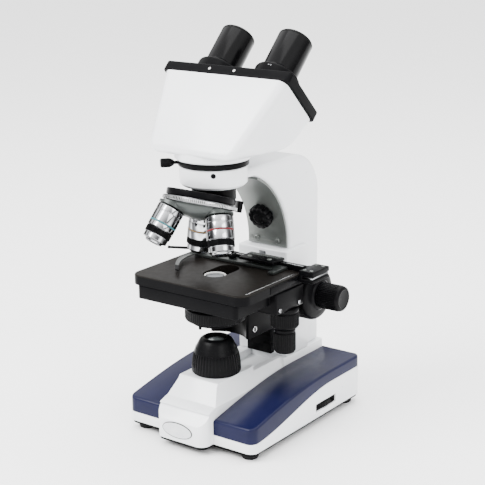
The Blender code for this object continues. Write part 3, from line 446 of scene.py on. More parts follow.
def clearGlass(name, tint, rough):
    made = surface(name, tint, tint, rough, grainDepth=0.0, roughSpread=0.01, coat=1.0, coatRough=0.02)
    made.node_tree.nodes["Principled BSDF"].inputs["Transmission Weight"].default_value = 0.85
    return made


looks = {
    "white": surface("whitePaint", (0.79, 0.805, 0.82), (0.755, 0.77, 0.79), 0.3, grain=750,
        grainDepth=0.012, coat=0.35, coatRough=0.14),
    "navy": surface("navyPaint", (0.0060, 0.0068, 0.030), (0.0042, 0.0050, 0.023), 0.32, grain=900,
        grainDepth=0.014, coat=0.10, coatRough=0.16, specular=0.07),
    "satinGray": surface("satinGrayMetal", (0.175, 0.185, 0.175), (0.115, 0.125, 0.118), 0.36, metallic=0.6,
        blotch=22, grain=1600, grainDepth=0.01, roughSpread=0.08, specular=0.2),
    "domeGray": surface("domeGrayMetal", (0.060, 0.066, 0.064), (0.036, 0.041, 0.039), 0.34, metallic=0.6,
        blotch=22, grain=1600, grainDepth=0.01, roughSpread=0.08, specular=0.2),
    "barGray": surface("barGrayMetal", (0.040, 0.044, 0.042), (0.022, 0.026, 0.025), 0.34, metallic=0.6,
        blotch=22, grain=1600, grainDepth=0.01, roughSpread=0.08, specular=0.2),
    "black": surface("satinBlackPaint", (0.0030, 0.0030, 0.0034), (0.0018, 0.0018, 0.0021), 0.28,
        grain=1500, grainDepth=0.008, specular=0.035),
    "gloss": surface("glossBlackPaint", (0.0026, 0.0026, 0.0030), (0.0018, 0.0018, 0.0020), 0.17,
        grain=1500, grainDepth=0.004, specular=0.09),
    "moulded": surface("mouldedBlackPlastic", (0.0034, 0.0034, 0.0038), (0.0020, 0.0020, 0.0024), 0.30,
        grain=2600, grainDepth=0.012, specular=0.05),
    "head": surface("crackleBlack", (0.0028, 0.0028, 0.0032), (0.0018, 0.0018, 0.0022), 0.33, grain=1900,
        grainDepth=0.02, specular=0.035),
    "stage": surface("stageCoating", (0.0082, 0.0068, 0.0058), (0.0046, 0.0039, 0.0034), 0.36, blotch=36,
        blotchMix=0.8, grain=1300, grainDepth=0.014, speck=0.25, roughSpread=0.09, specular=0.06),
    "side": surface("blackPaint", (0.0028, 0.0028, 0.0032), (0.0018, 0.0018, 0.0021), 0.30, grain=1100,
        grainDepth=0.010, specular=0.03),
    # chrome: its dark and bright stripes are painted reflections in the colour
    "chrome": surface("chromePlate", (0.83, 0.84, 0.85), (0.76, 0.77, 0.78), 0.10, metallic=1.0, blotch=60,
        grain=2400, grainDepth=0.002, roughSpread=0.05, paintedReflections=True),
    "satinChrome": surface("satinChrome", (0.72, 0.73, 0.73), (0.62, 0.63, 0.63), 0.24, metallic=1.0,
        blotch=40, grain=1800, grainDepth=0.004, roughSpread=0.06, anisotropic=0.4),
    "steel": surface("turnedSteel", (0.56, 0.56, 0.55), (0.44, 0.44, 0.43), 0.30, metallic=1.0, blotch=120,
        grain=2600, grainDepth=0.01, anisotropic=0.5),
    "lightGray": surface("springSteel", (0.11, 0.115, 0.112), (0.065, 0.07, 0.068), 0.33, metallic=0.6,
        blotch=80, grain=2000, grainDepth=0.008, specular=0.2),
    "rubber": surface("rubber", (0.0060, 0.0060, 0.0064), (0.0035, 0.0035, 0.0040), 0.66, grain=1400,
        grainDepth=0.05, roughSpread=0.1, specular=0.12),
    "red": surface("redRing", (0.115, 0.008, 0.011), (0.085, 0.005, 0.008), 0.35, grainDepth=0.004,
        specular=0.2),
    "ochre": surface("ochreRing", (0.17, 0.10, 0.038), (0.13, 0.075, 0.028), 0.35, grainDepth=0.004,
        specular=0.2),
    "cyan": surface("cyanRing", (0.030, 0.125, 0.145), (0.022, 0.098, 0.115), 0.35, grainDepth=0.004,
        specular=0.2),
    # white for a painted highlight: the glint ring on the condenser's top is painted, not lit
    "paintedGlint": surface("paintedGlintWhite", (0.78, 0.78, 0.76), (0.66, 0.66, 0.64), 0.5, grainDepth=0.004),
    "badge": surface("badgePlate", (0.66, 0.67, 0.68), (0.58, 0.59, 0.61), 0.3, metallic=0.5, blotch=140,
        grain=2200, grainDepth=0.006),
    "board": surface("resistGreen", (0.035, 0.17, 0.07), (0.02, 0.11, 0.045), 0.4, blotch=160, grain=900,
        grainDepth=0.02),
    # near-black: ink of the printed scale marks, and painted shade in the dimmer slot and in a screw socket
    "dark": surface("inkAndPaintedShadeBlack", (0.006, 0.006, 0.007), (0.004, 0.004, 0.005), 0.6, grainDepth=0.01),
    "lens": surface("coatedLens", (0.020, 0.028, 0.040), (0.016, 0.022, 0.032), 0.05, roughSpread=0.01,
        grainDepth=0.0, coat=0.3, coatRough=0.02, ior=1.6, specular=0.5),
    "glass": clearGlass("clearGlass", (0.92, 0.95, 0.96), 0.04),
    "frosted": surface("frostedGlass", (0.17, 0.19, 0.19), (0.13, 0.15, 0.15), 0.22, grain=1600,
        grainDepth=0.02, coat=0.8, coatRough=0.08),
}
print("finishes ready")


# base: a white casting with two painted covers, on a black plate and four feet

base = {
    "half": 72.5, "front": -43.0, "back": 140.0, "noseFront": -57.0, "low": 8.7, "corner": 8.0,
    "skirtFront": 17.5, "skirtBack": 37.5, "coverFront": 32.0, "coverBack": 48.5, "rise": 130.0,
    "spineHalf": 28.0, "coverEdge": 2.4, "gap": 0.3,
}


def skirtTop(y):
    share = min(max((y - base["front"]) / base["rise"], 0), 1)
    return base["skirtFront"] + (base["skirtBack"] - base["skirtFront"]) * share * share * (3 - 2 * share)


def coverTop(y):
    share = min(max((y - base["front"]) / base["rise"], 0), 1)
    return base["coverFront"] + (base["coverBack"] - base["coverFront"]) * math.sin(math.pi / 2 * share)


def cornerInset(depth, radius):
    return 0.0 if depth >= radius else radius - math.sqrt(max(radius * radius - (radius - depth) ** 2, 0))


def stations(inset, steps=44):
    front = base["front"] + inset
    back = base["back"] - inset
    corner = base["corner"]
    ends = [corner * (1 - math.cos(math.pi / 2 * i / 9)) for i in range(10)]
    middle = [front + corner + (back - front - 2 * corner) * i / steps for i in range(1, steps)]
    return [front + e for e in ends] + middle + [back - e for e in ends[::-1]]


def sideAt(y, inset):
    depth = min(y - base["front"] - inset, base["back"] - inset - y)
    return base["half"] - inset - cornerInset(depth, base["corner"])


def whiteCasting():
    rings = []
    low = base["low"]
    for y in stations(0):
        side = sideAt(y, 0)
        top = skirtTop(y)
        rings.append([(-side, y, low), (side, y, low), (side, y, top - 0.5), (side - 0.5, y, top),
            (0.5 - side, y, top), (-side, y, top - 0.5)])
    casting = loft("baseCasting", rings)
    half = base["spineHalf"]
    nose = base["noseFront"]
    spine = prism("spine", roundedPlan(-half, nose, half, 140, (3, 3, 9, 9), 12), low, 64)
    line = [(nose - 5, 4), (145, 4), (145, 55.5), (28, 55.5), (28, 60), (-22, 60)]
    line += arc(-26, 58.2, 1.8, 80, 130, 3) + [(-38, 43.2)] + arc(-40, 44.5, 2.4, 300, 260, 3)
    line += [(-49, 39.2)] + arc(-50, 35.2, 3.6, 85, 48, 5) + [(nose - 5, 22.5)]
    carve(spine, prism("spineLine", line, -half - 4, half + 4, sideOn), operation="INTERSECT")
    settle(spine)
    weld(casting, spine)
    for side in (-1, 1):
        outline = [(side * 32, 42.5), (side * 32, 64), (side * 22, 64), (side * 22, 57), (side * 27.7,
            42.5)]
        carve(casting, prism("flank", outline, -70.5, 43, toFront))
    valley = [(22, 64), (34, 48.5), (78.5, 48.5), (78.5, 64)]
    carve(casting, prism("valley", valley, -16.5, 16.5, sideOn))
    carve(casting, rod("lampHole", 14, 40, 64))
    carve(casting, slab("wheelSlot", (58, 58.5, 14.5), (76, 93.5, 22.5)))
    carve(casting, slab("inletHole", (-13.8, 118, 11.7), (13.8, 144, 31.3)))
    carve(casting, slab("switchHole", (42.7, 122, 11.2), (57.3, 144, 31.8)))
    settle(casting)
    bm = bmesh.new()
    bm.from_mesh(casting.data)
    bmesh.ops.remove_doubles(bm, verts=bm.verts, dist=0.02 * mm)
    bmesh.ops.dissolve_limit(bm, angle_limit=math.radians(1), verts=bm.verts, edges=bm.edges)
    bm.to_mesh(casting.data)
    bm.free()
    edge(casting, 0.7, 2, 32)
    return finish(casting, "white", "stand", "base_housing")


def wingCover(name, side, node):
    e = base["coverEdge"]
    inner = base["spineHalf"] + base["gap"]
    rings = []
    for y in stations(base["gap"]):
        outer = sideAt(y, base["gap"])
        low = skirtTop(y) + base["gap"]
        end = min(y - base["front"], base["back"] - y) - base["gap"]
        top = coverTop(y) - cornerInset(end, e)
        room = min((outer - inner) / 2 - 0.1, e)
        fade = min(1.0, end / e) if e else 1.0
        ring = [(inner, y, low), (outer, y, low)]
        ring += [(outer - room + room * math.cos(a), y,
            top - room * fade + room * fade * math.sin(a)) for a in [math.pi / 2 * i / 6 for i in range(7)]]
        ring += [(inner + 0.8, y, top), (inner, y, top - 0.8 * fade)]
        rings.append([(side * x, py, z) for x, py, z in ring])
    return finish(loft(name, rings), "navy", "stand", node, smooth=50)


def badge():  # a blank oval plate on the front of the nose
    plate = {"width": 34.0, "height": 15.0, "thickness": 0.6, "x": -2.0, "z": 19.6, "outline": 0.7}
    half = (plate["width"] / 2, plate["height"] / 2)
    angles = [math.tau * i / 96 for i in range(96)]
    place = at(plate["x"], -57.0, plate["z"]) @ toFront
    outline = [(half[0] * math.cos(a), half[1] * math.sin(a)) for a in angles]
    finish(edge(prism("badgeRim", outline, -0.4, plate["thickness"], place), 0.2, 2), "black", "stand")
    inset = plate["outline"]
    field = [((half[0] - inset) * math.cos(a), (half[1] - inset) * math.sin(a)) for a in angles]
    finish(prism("badgeField", field, 0.2, plate["thickness"] + 0.1, place), "badge", "stand")


whiteCasting()
wingCover("leftWing", -1, "left_cover")
wingCover("rightWing", 1, "right_cover")
for name, x, y in (("foot_front_left", -60, -30.5), ("foot_front_right", 60, -30.5), ("foot_back_left", -60,
    127.5), ("foot_back_right", 60, 127.5)):
    profile = [(0, 0), (6.8, 0), (7.6, 0.9), (7.9, 2.8), (8.0, 5.7), (0, 5.7)]
    finish(lathe(name + "Pad", profile, at(x, y, 0), 48, 0.5), "rubber", "stand", name)
badge()
print("base ready")


# lamp house: a dome with a ribbed shoulder over a frosted lens

hood = {"radius": 23.0, "low": 60.3, "top": 93.3, "flutes": 44, "ticks": 40}


def lampHouse():
    low = hood["low"]
    top = hood["top"]
    outline = [(19.5, low), (22.4, low), (23.0, low + 1.2)]
    steps = ((0.2, 22.8), (0.35, 22.4), (0.5, 21.6), (0.6, 20.6), (0.71, 19.0), (0.8, 17.6), (0.89, 16.1),
        (0.96, 14.6))
    outline += [(r, low + (top - low) * share) for share, r in steps]
    outline += [(13.2, top - 0.5), (12.4, top), (10.4, top), (10.0, top - 0.8), (9.9, top - 5.6), (8.6,
        top - 6.0), (8.3, top - 9)]
    outline += [(16.5, low + 16), (19.5, low + 3)]
    dome = lathe("hoodDome", outline, at(), hood["flutes"] * 6, 0.5, ribs=hood["flutes"], depth=0.8,
        span=(low + 1.8, low + 19.5, 20.6))
    finish(dome, "moulded", "stand", "illuminator_hood")
    lens = [(0, 87.4), (9.4, 87.4), (9.4, 89.2)]
    lens += [(9.4 * math.cos(a), 89.2 + 2.0 * math.sin(a)) for a in [math.pi / 2 * i / 10 for i in range(1,
        10)]]
    lens += [(0, 91.2)]
    finish(lathe("hoodLens", lens, at(), 96, 0), "frosted", "stand", "field_lens")
    ribs("hoodTicks", at(0, 0, low + 23.4), hood["ticks"], 18.95, 0.8, 0.35, 1.4, "moulded", "stand")


lampHouse()
print("lamp house ready")


# arm: a white casting with a satin lining in its throat

arm = {
    "half": 24.0, "back": 136.0, "top": 250.0, "corner": 42.0, "foot": 55.8, "blockTop": 161.0, "throat": 79.4, "throatY": 3.7, "throatZ": 165.0,
    "lining": 1.8, "edge": 3.0, "clampAngle": 21.6,
}


clampTurn = math.radians(arm["clampAngle"])
clampY = arm["throatY"] + arm["throat"] * math.cos(clampTurn)
clampZ = arm["throatZ"] + arm["throat"] * math.sin(clampTurn)
clampPlace = at(0, clampY, clampZ) @ turnedBy(90 + arm["clampAngle"], "X")


def armCasting():
    radius = arm["throat"] + arm["lining"] + 0.3
    start = math.degrees(math.asin((arm["blockTop"] - arm["throatZ"]) / radius))
    end = math.degrees(math.acos((30.5 - arm["throatY"]) / radius))
    outline = [(arm["throatY"] + radius, arm["foot"]), (arm["back"], arm["foot"])]
    outline += arc(arm["back"] - arm["corner"], arm["top"] - arm["corner"], arm["corner"], 0, 90, 28)
    outline += [(0, arm["top"]), (0, 242)]
    outline += arc(arm["throatY"], arm["throatZ"], radius, end, start, 48)
    casting = prism("armBody", outline, -arm["half"], arm["half"], sideOn)
    edge(casting, arm["edge"], 5, 55)
    settle(casting)
    block = slab("focusBlock", (-28.5, 74.5, arm["foot"]), (28.5, 112, arm["blockTop"]))
    edge(block, 1.6, 4, 40)
    settle(block)
    weld(casting, block)
    ring = [(0, 238), (28.0, 238), (30.5, 240.4), (30.5, 255.2), (29.8, 256), (0, 256)]
    weld(casting, lathe("frontRing", ring, at(), 128, 0.5))
    path = [(0, 234), (20.3, 234), (20.3, 248.3), (14, 248.3), (14, 260), (0, 260)]
    carve(casting, lathe("lightPath", path, at(), 96, 0))
    carve(casting, rod("focusBore", 6.4, -33, 33, at(0, 86.5, 121.5) @ toRight, 48, 0))
    carve(casting, slab("rackSlot", (-3.9, 70, 54), (3.9, 86.9, 158)))
    tilt = at(0, -20.5, 224.6) @ turnedBy(-18.8, "X")
    carve(casting, rod("mountRoom", 31.6, -4, 8.95, tilt, 96, 0))
    carve(casting, rod("clampHole", 4.4, -10.4, 4, clampPlace, 48, 0))
    finish(casting, "white", "stand", "arm_casting", smooth=30)


def armLining():
    inner = arc(arm["throatY"], arm["throatZ"], arm["throat"], -2, 66, 60)
    outer = arc(arm["throatY"], arm["throatZ"], arm["throat"] + arm["lining"], 66, -2, 60)
    lining = prism("throatLining", inner + outer, -22, 22, sideOn)
    carve(lining, rod("liningHole", 4.4, -10, 4, clampPlace, 48, 0))
    for side in (-1, 1):
        carve(lining, rod("screwHole", 1.6, -10, 4, at(12 * side, 83.06, 167.6) @ toFront, 24, 0))
    edge(lining, 0.5, 2, 50)
    finish(lining, "satinGray", "stand", "arm_trim")


def panScrew(name, place, radius, look="steel", body="stand", height=1.5, slot="cross", node=None):
    head = lathe(name, [(0, -0.2), (radius, -0.2), (radius, height * 0.5), (radius * 0.72, height * 0.92),
        (0, height)], place, 48, 0.25)
    if slot == "cross":
        for turn in (0, 90):
            tool = slab("driver", (-radius * 0.6, -radius * 0.13, height * 0.35), (radius * 0.6,
                radius * 0.13, height + 1), place @ turnedBy(turn + 20, "Z"))
            carve(head, tool)
    else:
        outline = [(radius * 0.52 * math.cos(math.tau * i / 6),
            radius * 0.52 * math.sin(math.tau * i / 6)) for i in range(6)]
        carve(head, prism("socket", outline, height * 0.2, height + 1, place))
    return finish(head, look, body, *([node] if node else []))


def flutedKnob(name, place, radius, low, high, lobes, depth, look, body, *nodes):
    steps = lobes * 12
    rows = [(low, -0.9), (low + 0.3, -0.3), (low + 0.9, 0.0), (high - 1.2, 0.0), (high - 0.5, -0.35),
        (high - 0.1, -1.0), (high, -1.9)]
    rings = []
    for z, shift in rows:
        ring = []
        for i in range(steps):
            a = math.tau * i / steps
            wave = abs(math.sin(lobes * a / 2)) ** 0.55
            r = radius + shift - depth * (1 - wave)
            ring.append((r * math.cos(a), r * math.sin(a), z))
        rings.append(ring)
    return loft(name, rings, place)


armCasting()
armLining()
for side in (-1, 1):
    panScrew("liningScrew" + ("Left" if side < 0 else "Right"), at(12 * side, 82.9, 167.6) @ toFront, 2.7,
        "satinGray", "stand", 1.9, "cross", "trim_screw_" + ("left" if side < 0 else "right"))
knob = flutedKnob("clampKnob", clampPlace, 12.0, 1.3, 10.0, 12, 1.5, "moulded", "arm_clamp")
stem = rod("clampStem", 4.0, -10, 3, clampPlace)
finish(fuse("armClamp", knob, stem), "gloss", "arm_clamp", "arm_clamp_knob", smooth=40)
finish(lathe("clampCap", [(0, 9.6), (5.2, 9.6), (5.2, 10.25), (4.6, 10.5), (0, 10.6)], clampPlace, 48, 0.1),
    "black", "arm_clamp")
print("arm ready")


# seat of the head, its lock screw and the ring's set screw

seat = {"low": 256.3, "high": 261.7}
profile = [(20, seat["low"]), (31.6, seat["low"]), (32, seat["low"] + 0.5), (32, seat["high"] - 0.8), (31.2,
    seat["high"]), (20, seat["high"])]
ringSeat = lathe("seatRing", profile, at(), 128, 0.2)
lockPlace = at(0, 0, 259) @ turnedBy(227, "Z") @ toRight
carve(ringSeat, rod("lockHole", 1.9, 14, 36, lockPlace, 32, 0))
finish(ringSeat, "black", "stand", "head_seat_ring")
shank = lathe("lockShank", [(0, 21), (1.5, 21), (1.5, 35.5), (2.4, 35.5), (3.9, 38.6), (3.9, 46.9), (3.3,
    47.5), (0, 47.5)], lockPlace, 64, 0.3)
finish(shank, "moulded", "head_lock", "head_lock_screw")
ribs("lockGrip", lockPlace @ at(0, 0, 42.8), 22, 3.8, 0.75, 0.35, 7.2, "moulded", "head_lock")
setPlace = at(0, 0, 251.5) @ turnedBy(-53, "Z") @ toRight
finish(lathe("ringSetScrew", [(0, 30.0), (0, 30.8), (2.1, 30.8), (2.3, 30.6), (2.3, 30.0)], setPlace, 32,
    0.05), "black", "stand")


# focusing: a flange and a tension ring at the arm, coarse and fine knobs on one axis

focus = {"y": 86.5, "z": 121.5, "coarseRibs": 90, "fineRibs": 44}


def focusSide(side, turn, flangeNode, flangeBody):
    place = at(0, focus["y"], focus["z"]) @ turn
    collar = [(6.3, 28.8), (24, 28.8), (24, 37.0), (23.4, 37.4), (23.4, 38.4), (22.2, 39.7), (6.3, 39.7)]
    finish(lathe(flangeNode + "Ring", collar, place, 128, 0.5), "moulded", flangeBody, flangeNode)
    if side == "right":
        ribs("tensionGrip", place @ at(0, 0, 33.0), 60, 24.0, 1.1, 0.35, 6.4, "moulded", flangeBody)
    coarse = [(6.3, 40.1), (23.8, 40.1), (24.8, 41.1), (24.8, 53.2), (24.5, 54.6), (23.5, 56.2), (21.7,
        57.4)]
    coarse += [(18.7, 58.2), (15.0, 58.6), (14.4, 59.2), (13.4, 60.1), (6.3, 60.1)]
    knob = lathe("coarseKnob" + side.title(), coarse, place, 160, 0.7, ribs=focus["coarseRibs"], depth=0.7,
        span=(41.1, 53.4, 24.5))
    finish(knob, "moulded", "coarse_focus", "coarse_knob_" + side)
    ribs("coarseGrip" + side.title(), place @ at(0, 0, 47.2), focus["coarseRibs"], 24.75, 1.0, 0.25, 11.2,
        "moulded", "coarse_focus")
    fine = [(3.3, 60.4), (11.4, 60.4), (12.2, 61.2), (12.2, 81.6), (11.6, 83.3), (10.2, 84.2), (8.9, 84.4),
        (8.5, 84.0), (0, 83.8)]
    fine += [(0, 76.4), (3.3, 76.4)]
    finish(lathe("fineKnob" + side.title(), fine, place, 128, 0.5), "moulded", "fine_focus",
        "fine_knob_" + side)
    ribs("fineGrip" + side.title(), place @ at(0, 0, 71.4), focus["fineRibs"], 12.15, 0.9, 0.35, 17.6,
        "moulded", "fine_focus")


focusSide("right", toRight, "tension_ring", "tension")
focusSide("left", toLeft, "bearing_flange", "stand")
print("focusing ready")


# stage: plate over a smaller plate, on a bracket that slides on the arm

stage = {"half": 64.0, "front": -44.5, "back": 56.0, "top": 154.0, "low": 144.5, "slotEnd": 30.0}


def stagePlates():
    plan = roundedPlan(-stage["half"], stage["front"], stage["half"], stage["back"], (5.5, 5.5, 11, 11), 16)
    slot = roundedPlan(-11, -11, 11, stage["slotEnd"], [10.7] * 4, 16)

    def cutPlate(name, low, high, width):
        plate = prism(name, plan, low, high)
        edge(plate, width, 4, 50)
        settle(plate)
        carve(plate, prism("slot", slot, 140, 158))
        carve(plate, rod("tubeHole", 16.3, 140.5, 148.5, at(), 96, 0))
        settle(plate)
        return plate
    finish(cutPlate("stageTop", stage["low"], stage["top"], 1.1), "stage", "carrier", "stage_plate",
        smooth=40)
    band = [(x * 1.0012, y * 1.0012 + 0.01) for x, y in plan]
    ring = prism("stageSide", band, 144.8, 152.9)
    carve(ring, prism("inside", [(x * 0.99, y * 0.99 + 0.06) for x, y in plan], 140, 158))
    finish(ring, "side", "carrier", smooth=30)
    under = prism("stageUnder", roundedPlan(-56, -44.2, 56, 48, [4] * 4, 10), 132.2, 144.2)
    carve(under, rod("tubeRoom", 16.3, 128, 148, at(), 96, 0))
    settle(under)
    block = slab("travelBlock", (42, 6, 123.2), (63.5, 50, 143.2))
    edge(block, 1.4, 3)
    settle(block)
    weld(under, block)
    settle(under)
    edge(under, 0.6, 3, 50)
    finish(under, "side", "carrier", "stage_under_plate")


def carrierBlocks():
    slide = slab("slideBody", (-14, 68.2, 58), (14, 74.2, 150))
    edge(slide, 0.6, 3)
    settle(slide)
    rack = slab("rackBody", (-3.5, 71.2, 72), (3.5, 80.2, 146))
    finish(fuse("carrierSlide", slide, rack), "black", "carrier", "stage_slide")
    bracket = slab("bracketBody", (-22, 21, 88), (22, 67.9, 131.9))
    carve(bracket, rod("condenserRoom", 28.4, 84, 134, at(), 96, 0))
    edge(bracket, 1.2, 3, 40)
    finish(bracket, "side", "carrier", "stage_bracket")
    place = at(22, 30, 96) @ toRight
    ring = [(1.9, -0.3), (2.9, -0.3), (2.9, 0.9), (2.6, 1.2), (2.2, 1.2), (1.9, 0.9)]
    finish(lathe("bracketScrew", ring, place, 64, 0.15), "satinChrome", "carrier")
    # a near-black disc inside the screw ring is painted shade standing in for the shaded socket hole
    finish(lathe("bracketSocket", [(0, -0.3), (2.0, -0.3), (2.0, 0.5), (0, 0.4)], place, 32, 0.1), "dark",
        "carrier")


def condenserParts():
    low = 110.0
    body = [(6.8, low), (22.6, low), (24.6, low + 0.9), (28, low + 2.4), (28, low + 12.6), (27.2,
        low + 13.5), (19, low + 13.5)]
    body += [(18.6, low + 14.2), (16, low + 14.4), (16, 148.1), (10.3, 148.1), (10.3, 152.0), (8.8, 152.0),
        (8.8, 150.0), (6.8, 150.0)]
    finish(lathe("condenserBody", body, at(), 128, 0.4), "moulded", "carrier", "condenser_housing")
    ribs("condenserGrip", at(0, 0, low + 7.4), 72, 27.9, 1.2, 0.45, 8.4, "moulded", "carrier")
    glass = [(0, 150.3), (8.5, 150.3), (8.5, 151.3)]
    glass += [(8.5 * math.cos(a), 151.3 + 1.5 * math.sin(a)) for a in [math.pi / 2 * i / 12 for i in range(1, 12)]] + [(0, 152.8)]
    finish(lathe("condenserTop", glass, at(), 96, 0), "lens", "carrier", "condenser_lens")
    # a white ring round the condenser lens is a painted highlight standing in for the glint on its rim
    finish(lathe("condenserRim", [(8.6, 151.7), (10.25, 151.7), (10.25, 152.5), (9.8, 152.8), (9.0, 152.8),
        (8.6, 152.4)], at(), 96, 0.1), "paintedGlint", "carrier")
    a = math.radians(262)
    ring = lathe("irisRing", [(16, 108.5), (22, 108.5), (22, 109.7), (16, 109.7)], at(), 96, 0.2)
    pin = lathe("irisPin", [(0, 105.2), (1.0, 105.2), (1.4, 105.9), (1.4, 109.2), (0, 109.2)],
        at(20 * math.cos(a), 20 * math.sin(a), 0), 32, 0.2)
    finish(fuse("irisParts", ring, pin), "black", "iris", "iris_lever")


def mechanicalStage():
    carriage = slab("carriageBody", (64.6, 40, 147), (80, 68, 158))
    carve(carriage, slab("carriageGroove", (68, 38, 150.4), (82, 70, 153.2)))
    settle(carriage)
    edge(carriage, 0.9, 4, 40)
    finish(carriage, "side", "y_stage", "y_carriage")
    for i, (x, y) in enumerate(((68.5, 44), (76, 44), (68.5, 63), (76, 63))):
        panScrew("carriageScrew%d" % i, at(x, y, 158), 1.7, "satinGray", "y_stage", 0.8, "hex")
    bar = slab("carriageGib", (68.2, 40.4, 150.9), (79.0, 67.6, 152.7))
    edge(bar, 0.3, 2)
    finish(bar, "chrome", "y_stage")
    rail = slab("railBody", (-34, 47, 154.3), (64.3, 54, 159.3))
    edge(rail, 0.5, 3)
    finish(rail, "black", "y_stage", "x_rail")
    dove = slab("railStrip", (-33, 48.4, 159.25), (64, 49.2, 159.55))
    finish(dove, "satinChrome", "y_stage")

    ruler = slab("travelRuler", (59.4, -35, 153.9), (60.6, 40, 154.16))
    edge(ruler, 0.1, 2)
    finish(ruler, "satinChrome", "carrier")
    side = slab("sidePlate", (64.0, -4, 146.2), (64.55, 52, 152.6))
    edge(side, 0.2, 2)
    finish(side, "black", "carrier")
    for i, y in enumerate((12, 43)):
        panScrew("sideScrew%d" % i, at(63.5, y, 127) @ toRight, 2.4, "chrome", "carrier", 1.3, "cross")
    marks = repeat("travelMarks", "row", tickSeed(0.09, 0.4), "dark", at(60.0, -34, 154.15) @ turnedBy(90,
        "Z"), Count=74, Step=(1.0, 0.0, 0.0))
    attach(marks, "carrier")


def travelKnobs():
    for name, node, body, radius, low, high, count in (
        ("yTravel", "y_travel_knob", "y_knob", 13.2, 103.9, 122.9, 48),
        ("xTravel", "x_travel_knob", "x_knob", 10.2, 79.6, 103.6, 38),
    ):
        place = at(54, 33.5, 0)
        wall = radius - 0.45
        profile = [(0, low), (radius - 2.6, low), (radius - 1.2, low + 0.6), (wall, low + 2.0), (wall,
            high - 4.6), (wall - 0.9, high - 4.2)]
        profile += [(wall - 0.9, high - 3.2), (radius - 0.2, high - 2.9), (radius - 0.2, high - 1.0),
            (radius - 1.2, high), (0, high)]
        finish(lathe(name + "Knob", profile, place, 128, 0.4), "moulded", body, node)
        ribs(name + "Grip", place @ at(0, 0, (low + high) / 2 - 1.3), count, wall - 0.05, 0.95, 0.5,
            high - low - 7.4, "moulded", body)


def slideHolder():
    low = 154.6
    high = 157.2
    plan = [(-52, 36), (-50, 34), (38.5, 34)] + arc(38.5, 30.5, 3.5, 90, 0, 6)[1:] + [(42, 25.5), (41.4,
        24), (48, 24), (48, 46.7), (-52, 46.7)]
    bar = prism("holderBar", plan, low, high)
    edge(bar, 0.35, 3, 25)
    finish(bar, "barGray", "x_stage", "slide_holder")
    slider = slab("holderSlider", (2, 34, 159.9), (40, 54, 162.5))
    edge(slider, 0.5, 3)
    finish(slider, "black", "x_stage", "x_slider")
    plate = slab("sliderScale", (4, 47.6, 162.4), (38, 52.2, 162.62))
    finish(plate, "satinChrome", "x_stage")
    marks = repeat("sliderMarks", "row", tickSeed(0.1, 0.9), "dark", at(5.0, 49.6, 162.61), Count=33,
        Step=(1.0, 0.0, 0.0))
    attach(marks, "x_stage")
    for i, x in enumerate((10, 32)):
        panScrew("sliderScrew%d" % i, at(x, 40.5, 162.5), 2.2, "satinGray", "x_stage", 1.1, "cross")
    panScrew("barScrew", at(-34, 40.5, 157.2), 1.9, "satinGray", "x_stage", 1.0, "cross")

    lever = flutedKnob("holderScrew", at(-10, 40.35, 0), 4.0, 157.5, 162.2, 12, 0.5, "moulded",
        "holder_lock")
    finish(lever, "moulded", "holder_lock", "holder_screw", smooth=40)

    finger = {"length": 58.0, "bow": 0.06, "drift": 0.36, "width": 7.5, "taper": 0.45, "low": 157.5,
        "high": 158.7}
    inner = []
    outer = []
    for i in range(41):
        s = i / 40
        across = finger["width"] / 2 * (1 - (1 - finger["taper"]) * s)
        middle = finger["length"] * (finger["drift"] * s * s - finger["bow"] * math.sin(math.pi * s))
        outer.append((middle - across, -finger["length"] * s))
        inner.append((middle + across, -finger["length"] * s))
    pivot = at(-48, 37, 0)
    blade = prism("fingerBlade", inner + outer[::-1], finger["low"], finger["high"], pivot)
    edge(blade, 0.25, 2, 40)
    finish(blade, "lightGray", "finger", "spring_finger")
    last = outer[33:] + inner[:32:-1]
    sleeve = prism("fingerTip", [(x + (0.35 if i >= 8 else -0.35), y - (0.5 if i in (7, 8) else 0)) for i,
        (x, y) in enumerate(last)], 157.2, 159.0, pivot)
    edge(sleeve, 0.3, 2, 40)
    finish(sleeve, "rubber", "finger")
    knob = flutedKnob("fingerKnobBody", pivot, 8.0, 159.0, 163.6, 24, 0.45, "moulded", "finger")
    rodPlace = pivot @ at(0, 0, 161.3) @ turnedBy(205, "Z") @ toRight
    handle = lathe("fingerHandle", [(0, 4), (1.4, 4), (1.2, 27.5), (1.5, 28.4), (1.5, 29.8), (0, 30)],
        rodPlace, 32, 0.2)
    finish(fuse("fingerKnob", knob, handle), "moulded", "finger", "finger_knob", smooth=40)
    finish(lathe("fingerCap", [(0, 163.3), (2.6, 163.3), (2.6, 163.9), (2.2, 164.1), (0, 164.15)], pivot,
        48, 0.1), "steel", "finger")


stagePlates()
carrierBlocks()
condenserParts()
mechanicalStage()
travelKnobs()
slideHolder()
print("stage ready")


# nosepiece: a fixed disc, and under it a chrome rim and a dome that carries three objectives

nose = {"y": -20.5, "z": 224.6, "tilt": -18.8, "turn": 94.0}
nosePlace = at(0, nose["y"], nose["z"]) @ turnedBy(nose["tilt"], "X")
objectives = (
    ("objective_4x", "red", 0.74, 0.62),
    ("objective_10x", "ochre", 0.74, 0.60),
    ("objective_40x", "cyan", 0.62, 0.52),
)


def mountDisc():
    disc = lathe("mountDisc", [(0, 2.65), (30.4, 2.65), (31, 3.3), (31, 7.9), (30.2, 8.65), (0, 8.65)],
        nosePlace, 128, 0.3)
    neck = rod("mountNeck", 20, 224.6, 248, at(), 96, 0)
    carve(neck, slab("above", (-62, -62, 3.65), (62, 62, 62), nosePlace), operation="INTERSECT")
    settle(neck)
    weld(disc, neck)
    carve(disc, rod("mountPath", 9.8, 204, 252, at(), 64, 0))
    finish(disc, "black", "stand", "nosepiece_mount", smooth=30)


